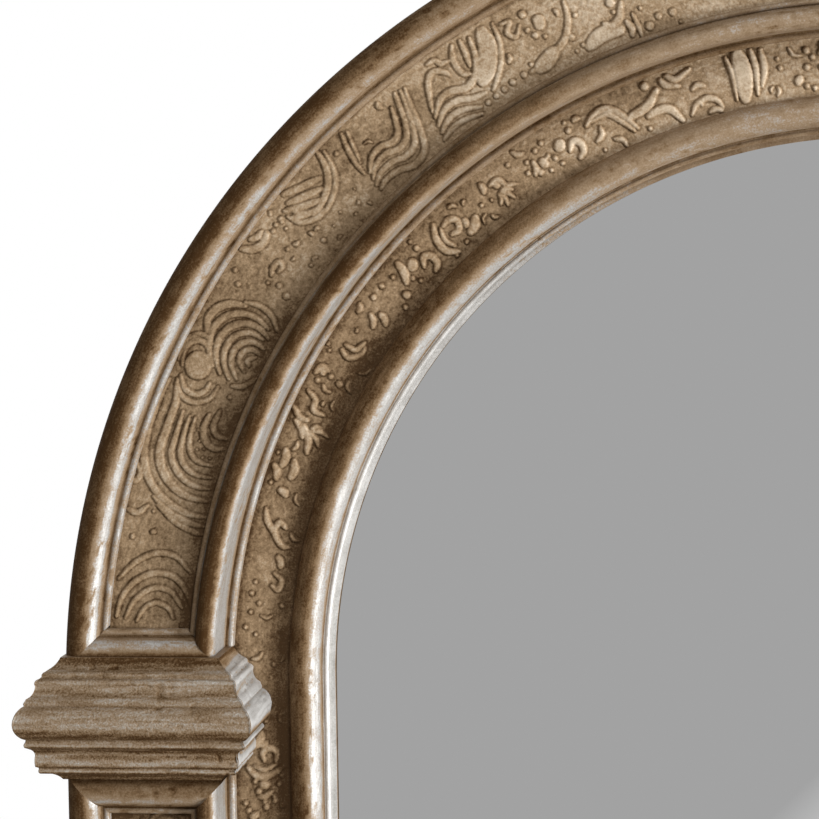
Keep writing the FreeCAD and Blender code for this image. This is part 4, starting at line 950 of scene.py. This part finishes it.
for side, name in sides:
    for node, (label, kind, edgeName, rise, smallSeed, groundSeed) in archBands.items():
        edge = lines[edgeName]
        middle = edge - emboss[kind]["width"] / 2
        band = makeBand(kind, quarterTurn * middle, smallSeed + side)
        finishBand(band, groundSeed + side, archGlaze(middle))
        piece = bandPiece(f"{label}_{name}", band, archRun(edge, rise), flatPlace, rise)
        bendRound(piece, edge, side, bandFinish)
        dress(piece, node)
    for node, (label, kind, edgeName, low, high, slope, start, seeds, ends) in uprightBands.items():
        layoutSeed, smallSeed, groundSeed = seeds
        band = makeBand(kind, high - low, smallSeed + side, (start, high - low, layoutSeed))
        finishBand(band, groundSeed + side, uprightGlaze, ends)
        piece = bandPiece(f"{label}_{name}", band, mitred(low, high, slope), uprightPlace(lines[edgeName], side))
        dress(piece, f"{node}_{name}")
for node, (label, kind, edge, slope, start, seeds) in levelBands.items():
    layoutSeed, smallSeed, groundSeed = seeds
    band = makeBand(kind, 2 * sillHalf, smallSeed, (start, 2 * sillHalf - start, layoutSeed))
    finishBand(band, groundSeed, levelPaintedLight)
    piece = bandPiece(label, band, mitred(-sillHalf, sillHalf, slope, -slope), levelPlace(edge))
    dress(piece, node)
print("embossed bands made")


# plainer finishes for what is behind and inside
plainLook = {"grainNoise": (1, 6, 0.6), "speckNoise": (3, 0.6), "shares": (0.7, 0.3), "darkTo": 0.3, "lightFrom": 0.7,
             "uneven": 0.4, "bumpStrength": 0.4, "bareFrom": 0.6}


def grainFinish(name, dark, light, scale, fine, rough, metal=0.0, bump=0.0003, stain=None):
    material, tree, shader = newMaterial(name)
    place = objectPlace(tree)
    grain = noiseNode(tree, stretched(tree, place, scale), *plainLook["grainNoise"])
    speck = noiseNode(tree, place, fine, *plainLook["speckNoise"])
    total = plus(tree, *(times(tree, noise, share) for noise, share in zip((grain, speck), plainLook["shares"])))
    stops = plainLook["darkTo"], plainLook["lightFrom"]
    colour = rampNode(tree, total, tuple(zip(stops, (dark, light))))
    if stain:
        # the edges are stained, the flat faces are left bare
        facing = tree.nodes.new("ShaderNodeTexCoord").outputs["Normal"]
        flat = mathNode(tree, "ABSOLUTE", addNode(tree, "ShaderNodeSeparateXYZ", Vector=facing).outputs["Y"])
        blend = tree.nodes.new("ShaderNodeMix")
        blend.data_type = "RGBA"
        feed(tree, blend.inputs[0], mathNode(tree, "GREATER_THAN", flat, plainLook["bareFrom"]))
        feed(tree, blend.inputs[6], rampNode(tree, total, tuple(zip(stops, stain))))
        feed(tree, blend.inputs[7], colour)
        colour = blend.outputs[2]
    feed(tree, shader.inputs["Base Color"], colour)
    uneven = times(tree, mathNode(tree, "SUBTRACT", total, 0.5), plainLook["uneven"])
    feed(tree, shader.inputs["Roughness"], plus(tree, uneven, rough))
    setBump(tree, shader, plainLook["bumpStrength"], bump, total)
    shader.inputs["Metallic"].default_value = metal
    return material


pine = {"dark": (0.30, 0.17, 0.08), "light": (0.55, 0.36, 0.19), "stain": ((0.05, 0.026, 0.01), (0.13, 0.08, 0.04)),
        "fine": 700, "rough": 0.6}
plainFinishes = {
    "pine_boards": dict(pine, scale=(160, 160, 9)),
    "pine_rail": dict(pine, scale=(9, 160, 160)),
    "hardboard": {"dark": (0.16, 0.085, 0.04), "light": (0.27, 0.16, 0.08), "scale": (60, 60, 60), "fine": 1500,
                  "rough": 0.75},
    "zinc_steel": {"dark": (0.30, 0.30, 0.31), "light": (0.50, 0.50, 0.51), "scale": (300, 300, 300), "fine": 2500,
                   "rough": 0.42, "metal": 1.0, "bump": 0.0001},
    "rubber_pads": {"dark": (0.012, 0.012, 0.012), "light": (0.035, 0.034, 0.033), "scale": (400, 400, 400),
                    "fine": 3000, "rough": 0.8},
    "stained_core": {"dark": (0.10, 0.06, 0.03), "light": (0.24, 0.155, 0.085), "scale": (12, 200, 200), "fine": 900,
                     "rough": 0.5},
    "pale_floor": {"dark": (0.76, 0.75, 0.73), "light": (0.86, 0.85, 0.83), "scale": (3, 3, 3), "fine": 60,
                   "rough": 0.8},
}
finishes = {name: grainFinish(name, **look) for name, look in plainFinishes.items()}

glassTint = {"grey": (0.362, 0.362, 0.362), "pale": (0.50, 0.50, 0.50), "from": -0.046, "fade": 0.18,
             "paleFrom": 0.2, "paleTo": 0.75, "rough": 0.03, "smearNoise": (5, 4, 0.6), "smear": 0.02}


def mirrorFinish(name):
    # flat silver grey tint with a soft paler painted sheen slanting across
    material, tree, shader = newMaterial(name)
    place = objectPlace(tree)
    smear = noiseNode(tree, place, *glassTint["smearNoise"])
    x, y, z = addNode(tree, "ShaderNodeSeparateXYZ", Vector=place).outputs
    slant = mathNode(tree, "SUBTRACT", mathNode(tree, "SUBTRACT", x, z), glassTint["from"])
    paintedSheen = mathNode(tree, "DIVIDE", slant, glassTint["fade"])
    grey, pale = glassTint["grey"], glassTint["pale"]
    stops = ((0.0, grey), (glassTint["paleFrom"], pale), (glassTint["paleTo"], pale), (1.0, grey))
    feed(tree, shader.inputs["Base Color"], rampNode(tree, paintedSheen, stops))
    feed(tree, shader.inputs["Roughness"], plus(tree, times(tree, smear, glassTint["smear"]), glassTint["rough"]))
    shader.inputs["Metallic"].default_value = 1.0
    return material


finishes["silvered_glass"] = mirrorFinish("silvered_glass")
painted = {
    "pine_boards": ("head_left", "head_right", "stile_left", "stile_right", "joint_dowels"),
    "pine_rail": ("bottom_rail",), "hardboard": ("backing_board",), "silvered_glass": ("mirror_pane",),
    "stained_core": [f"{kind}_core_{name}" for kind in blocks for side, name in sides],
    "zinc_steel": [node for node in cadNodes if node.startswith(("hanger_strap", "hanger_ring"))],
}
for finish, nodes in painted.items():
    for node in nodes:
        materials = cadNodes[node].data.materials
        materials.clear()
        materials.append(finishes[finish])
print("plain finishes set")

# screws, clips and wall pads of the back
screwSizes = {"Head Radius": 4.0, "Head Height": 2.4, "Crown Height": 3.0, "Shank Radius": 1.9, "Length": 12.0,
              "Recess Width": 1.0, "Recess Reach": 2.3, "Recess Depth": 1.3}
clipSizes = {"Foot Reach": 16.0, "Toe Reach": 14.0, "Thickness": 1.2, "Width": 15.0, "Gap": 1.1, "Foot Depth": 7.4,
             "Toe Depth": 14.4, "Bend": 1.4, "Hole Radius": 2.0, "Hole Place": 8.0}
padSizes = {"Radius": 11.0, "Height": 8.0, "Crown Height": 12.0, "Recess Radius": 3.0, "Recess Depth": 3.5}
fixings = {"clipSeat": 6.8, "strapSeat": 6.5, "strapX": 399.5, "strapScrews": (-57.0, -77.0), "railClips": 165.0,
           "stileShares": (0.2, 0.55, 0.85), "headShares": (0.3, 0.72), "pads": ((399.5, -903.5), (282.5, 352.5)),
           "tipShare": 0.4, "bendSteps": 5, "sharpAngle": 35, "seed": 7}


def crownedHead(tree, radius, height, crown):
    # a ball made flat at its foot and across its top
    ball = shapeNode(tree, "MeshUVSphere", Segments=40, Rings=20, Radius=1.0)
    x, y, z = splitPlace(tree)
    level = mathNode(tree, "MINIMUM", mathNode(tree, "MAXIMUM", times(tree, z, crown), 0.0), height)
    shaped = vectorNode(tree, times(tree, x, radius), times(tree, y, radius), level)
    return shapeNode(tree, "SetPosition", Geometry=ball, Position=shaped)


def cutAway(tree, shape, *cutters):
    cut = tree.nodes.new("GeometryNodeMeshBoolean")
    cut.operation, cut.solver = "DIFFERENCE", "EXACT"
    feed(tree, cut.inputs["Mesh 1"], shape)
    for cutter in cutters:
        feed(tree, cut.inputs["Mesh 2"], cutter)
    return cut.outputs[0]


def moved(tree, shape, *places):
    return shapeNode(tree, "Transform", Geometry=shape, Translation=vectorNode(tree, *places))


def setOnPoints(tree, given, shape, *turns):
    return shapeNode(tree, "InstanceOnPoints", Points=given["Geometry"], Instance=shape,
                     Rotation=vectorNode(tree, *turns))


def screwTree():
    tree, given = newTree("cross_head_screws", (*screwSizes, "Seed", "Finish"))
    head = crownedHead(tree, given["Head Radius"], given["Head Height"], given["Crown Height"])
    reach = times(tree, given["Recess Reach"], 2.0)
    deep = times(tree, given["Recess Depth"], 2.0)
    slots = []
    for first, second in ((reach, given["Recess Width"]), (given["Recess Width"], reach)):
        slot = shapeNode(tree, "MeshCube", Size=vectorNode(tree, first, second, deep))
        slots.append(moved(tree, slot, 0.0, 0.0, given["Head Height"]))
    head = cutAway(tree, head, *slots)
    shank = shapeNode(tree, "MeshCone", Vertices=24, Radius_Top=given["Shank Radius"], Depth=given["Length"],
                      Radius_Bottom=times(tree, given["Shank Radius"], fixings["tipShare"]))
    shank = moved(tree, shank, 0.0, 0.0, times(tree, given["Length"], -1.0))
    joined = tree.nodes.new("GeometryNodeJoinGeometry")
    for shape in (head, shank):
        feed(tree, joined.inputs[0], shape)
    spin = tree.nodes.new("FunctionNodeRandomValue")
    spin.data_type = "FLOAT"
    spin.inputs[3].default_value = math.pi
    feed(tree, spin.inputs["Seed"], given["Seed"])
    return endTree(tree, setOnPoints(tree, given, joined.outputs[0], -quarterTurn, spin.outputs[1], 0.0), given)


def clipTree():
    # a strip that follows its bent path, with a hole for the screw
    tree, given = newTree("bent_clips", (*clipSizes, "Finish"))
    back = {key: times(tree, given[key], -1.0) for key in ("Toe Reach", "Gap", "Foot Depth", "Toe Depth")}
    bends = ((given["Foot Reach"], back["Foot Depth"]), (back["Gap"], back["Foot Depth"]),
             (back["Gap"], back["Toe Depth"]), (back["Toe Reach"], back["Toe Depth"]))
    choose = tree.nodes.new("GeometryNodeIndexSwitch")
    choose.data_type = "VECTOR"
    while len(choose.index_switch_items) < len(bends):
        choose.index_switch_items.new()
    feed(tree, choose.inputs["Index"], shapeNode(tree, "InputIndex"))
    for number, (out, deep) in enumerate(bends):
        feed(tree, choose.inputs[str(number)], vectorNode(tree, out, deep, 0.0))
    path = shapeNode(tree, "ResampleCurve", Curve=shapeNode(tree, "CurvePrimitiveLine"), Count=len(bends))
    path = shapeNode(tree, "SetPosition", Geometry=path, Position=choose.outputs[0])
    rounded = addNode(tree, "GeometryNodeFilletCurve", Curve=path, Radius=given["Bend"])
    rounded.mode = "POLY"
    rounded.inputs["Count"].default_value = fixings["bendSteps"]
    strip = shapeNode(tree, "CurvePrimitiveQuadrilateral", Width=given["Thickness"], Height=given["Width"])
    shape = shapeNode(tree, "CurveToMesh", Curve=rounded.outputs[0], Profile_Curve=strip, Fill_Caps=True)
    drill = shapeNode(tree, "MeshCylinder", Vertices=24, Radius=given["Hole Radius"], Depth=given["Foot Reach"])
    drill = shapeNode(tree, "Transform", Geometry=drill, Rotation=(quarterTurn, 0, 0))
    shape = cutAway(tree, shape, moved(tree, drill, given["Hole Place"], 0.0, 0.0))
    turn = shapeNode(tree, "InputNamedAttribute", Name="turn")
    return endTree(tree, setOnPoints(tree, given, shape, 0.0, times(tree, turn, -1.0), 0.0), given)


def padTree():
    tree, given = newTree("wall_pads", (*padSizes, "Finish"))
    pad = crownedHead(tree, given["Radius"], given["Height"], given["Crown Height"])
    hollow = shapeNode(tree, "MeshCylinder", Vertices=32, Radius=given["Recess Radius"],
                       Depth=times(tree, given["Recess Depth"], 2.0))
    pad = cutAway(tree, pad, moved(tree, hollow, 0.0, 0.0, given["Height"]))
    return endTree(tree, setOnPoints(tree, given, pad, -quarterTurn, 0.0, 0.0), given)


def fixingPiece(name, places, tree, sizes, finish, node, turns=None):
    mesh = bpy.data.meshes.new(name)
    mesh.from_pydata([Vector(place) * mm for place in places], [], [])
    if turns:
        mesh.attributes.new("turn", "FLOAT", "POINT").data.foreach_set("value", turns)
    piece = addObject(name, mesh)
    values = {key: size * mm for key, size in sizes.items()}
    runTree(piece, tree, values | {"Seed": fixings["seed"], "Finish": finishes[finish]})
    smoothed(piece.data, fixings["sharpAngle"])
    dress(piece, node)


opening, foot, spring = lines["openingRadius"], lines["openingFoot"], lines["spring"]
clipPlaces = [(side * fixings["railClips"], foot, -quarterTurn) for side, name in sides]
for side, name in sides:
    out = 0.0 if side > 0 else math.pi
    clipPlaces += [(side * opening, foot + (spring - foot) * share, out) for share in fixings["stileShares"]]
    for share in fixings["headShares"]:
        turn = out + side * quarterTurn * share
        clipPlaces.append((opening * math.cos(turn), spring + opening * math.sin(turn), turn))
screws, hole = screwTree(), clipSizes["Hole Place"]
clipScrews = [(x + hole * math.cos(turn), -fixings["clipSeat"], z + hole * math.sin(turn)) for x, z, turn in clipPlaces]
hangerScrews = [(side * fixings["strapX"], -fixings["strapSeat"], z) for side, name in sides
                for z in fixings["strapScrews"]]
pads = [(side * x, -lines["boardBack"], z) for side, name in sides for x, z in fixings["pads"]]
fixingPiece("clip_strips", [(x, 0, z) for x, z, turn in clipPlaces], clipTree(), clipSizes, "zinc_steel",
            "retaining_clips", [turn for x, z, turn in clipPlaces])
fixingPiece("clip_screw_heads", clipScrews, screws, screwSizes, "zinc_steel", "clip_screws")
fixingPiece("hanger_screw_heads", hangerScrews, screws, screwSizes, "zinc_steel", "hanger_screws")
fixingPiece("wall_pads", pads, padTree(), padSizes, "rubber_pads", "wall_bumpers")
print("screws, clips and pads made")

# floor, light and camera
studio = {"floorHalf": 3.0, "floorGap": 0.0005, "ambient": (1, 0.985, 0.96, 1), "ambientStrength": 0.16}
floorMesh = bpy.data.meshes.new("floor")
half, low = studio["floorHalf"], lines["foot"] * mm - studio["floorGap"]
floorMesh.from_pydata([(-half, -half, low), (half, -half, low), (half, half, low), (-half, half, low)], [],
                      [(0, 1, 2, 3)])
floorMesh.materials.append(finishes["pale_floor"])
addObject("floor", floorMesh)

lamps = {
    "key": {"place": (4.22, -2.25, -0.67), "aim": (-0.35, 0, 0.2), "size": 1.5, "power": 326},
    "fill": {"place": (1.0, -2.5, 2.0), "aim": (-0.2, 0, 0.2), "size": 1.2, "power": 60},
    "back": {"place": (0.2, 2.8, 1.0), "aim": (0, 0, -0.2), "size": 2.0, "power": 75},
}
for name, lamp in lamps.items():
    light = bpy.data.lights.new(name, "AREA")
    light.shape = "SQUARE"
    light.size = lamp["size"]
    light.energy = lamp["power"]
    holder = addObject(name, light)
    holder.location = lamp["place"]
    holder.rotation_euler = (Vector(lamp["aim"]) - Vector(lamp["place"])).to_track_quat("-Z", "Y").to_euler()

world = bpy.data.worlds.new("studio")
bpy.context.scene.world = world
world.use_nodes = True
tree = world.node_tree
ambient = tree.nodes["Background"]
ambient.inputs["Color"].default_value = studio["ambient"]
ambient.inputs["Strength"].default_value = studio["ambientStrength"]
backdrop = addNode(tree, "ShaderNodeBackground", Color=(1, 1, 1, 1), Strength=1.0)
rays = tree.nodes.new("ShaderNodeLightPath").outputs
seen = mathNode(tree, "MAXIMUM", rays["Is Camera Ray"], rays["Is Glossy Ray"])
seen = mathNode(tree, "MAXIMUM", seen, rays["Is Transmission Ray"])
mixed = feedInOrder(tree, "ShaderNodeMixShader", (seen, ambient.outputs[0], backdrop.outputs[0]))
tree.links.new(mixed, tree.nodes["World Output"].inputs["Surface"])
bpy.context.scene.view_settings.view_transform = "Standard"

viewpoint = {"place": (-0.041, -1.600, 0.385), "yaw": -4.30, "pitch": -3.89, "roll": -0.54, "lens": 118.4,
             "shift": (-0.23, -0.10)}
yaw, pitch, roll = (math.radians(viewpoint[key]) for key in ("yaw", "pitch", "roll"))
forward = Vector((math.sin(yaw) * math.cos(pitch), math.cos(yaw) * math.cos(pitch), math.sin(pitch)))
level = Vector((math.cos(yaw), -math.sin(yaw), 0))
upward = level.cross(forward)
right = level * math.cos(roll) + upward * math.sin(roll)
upward = upward * math.cos(roll) - level * math.sin(roll)
camera = addObject("camera", bpy.data.cameras.new("camera"))
camera.data.lens = viewpoint["lens"]
camera.data.shift_x, camera.data.shift_y = viewpoint["shift"]
axes = Matrix((right, upward, -forward)).transposed().to_4x4()
camera.matrix_world = Matrix.Translation(viewpoint["place"]) @ axes
bpy.context.scene.camera = camera
print("floor, light and camera set")
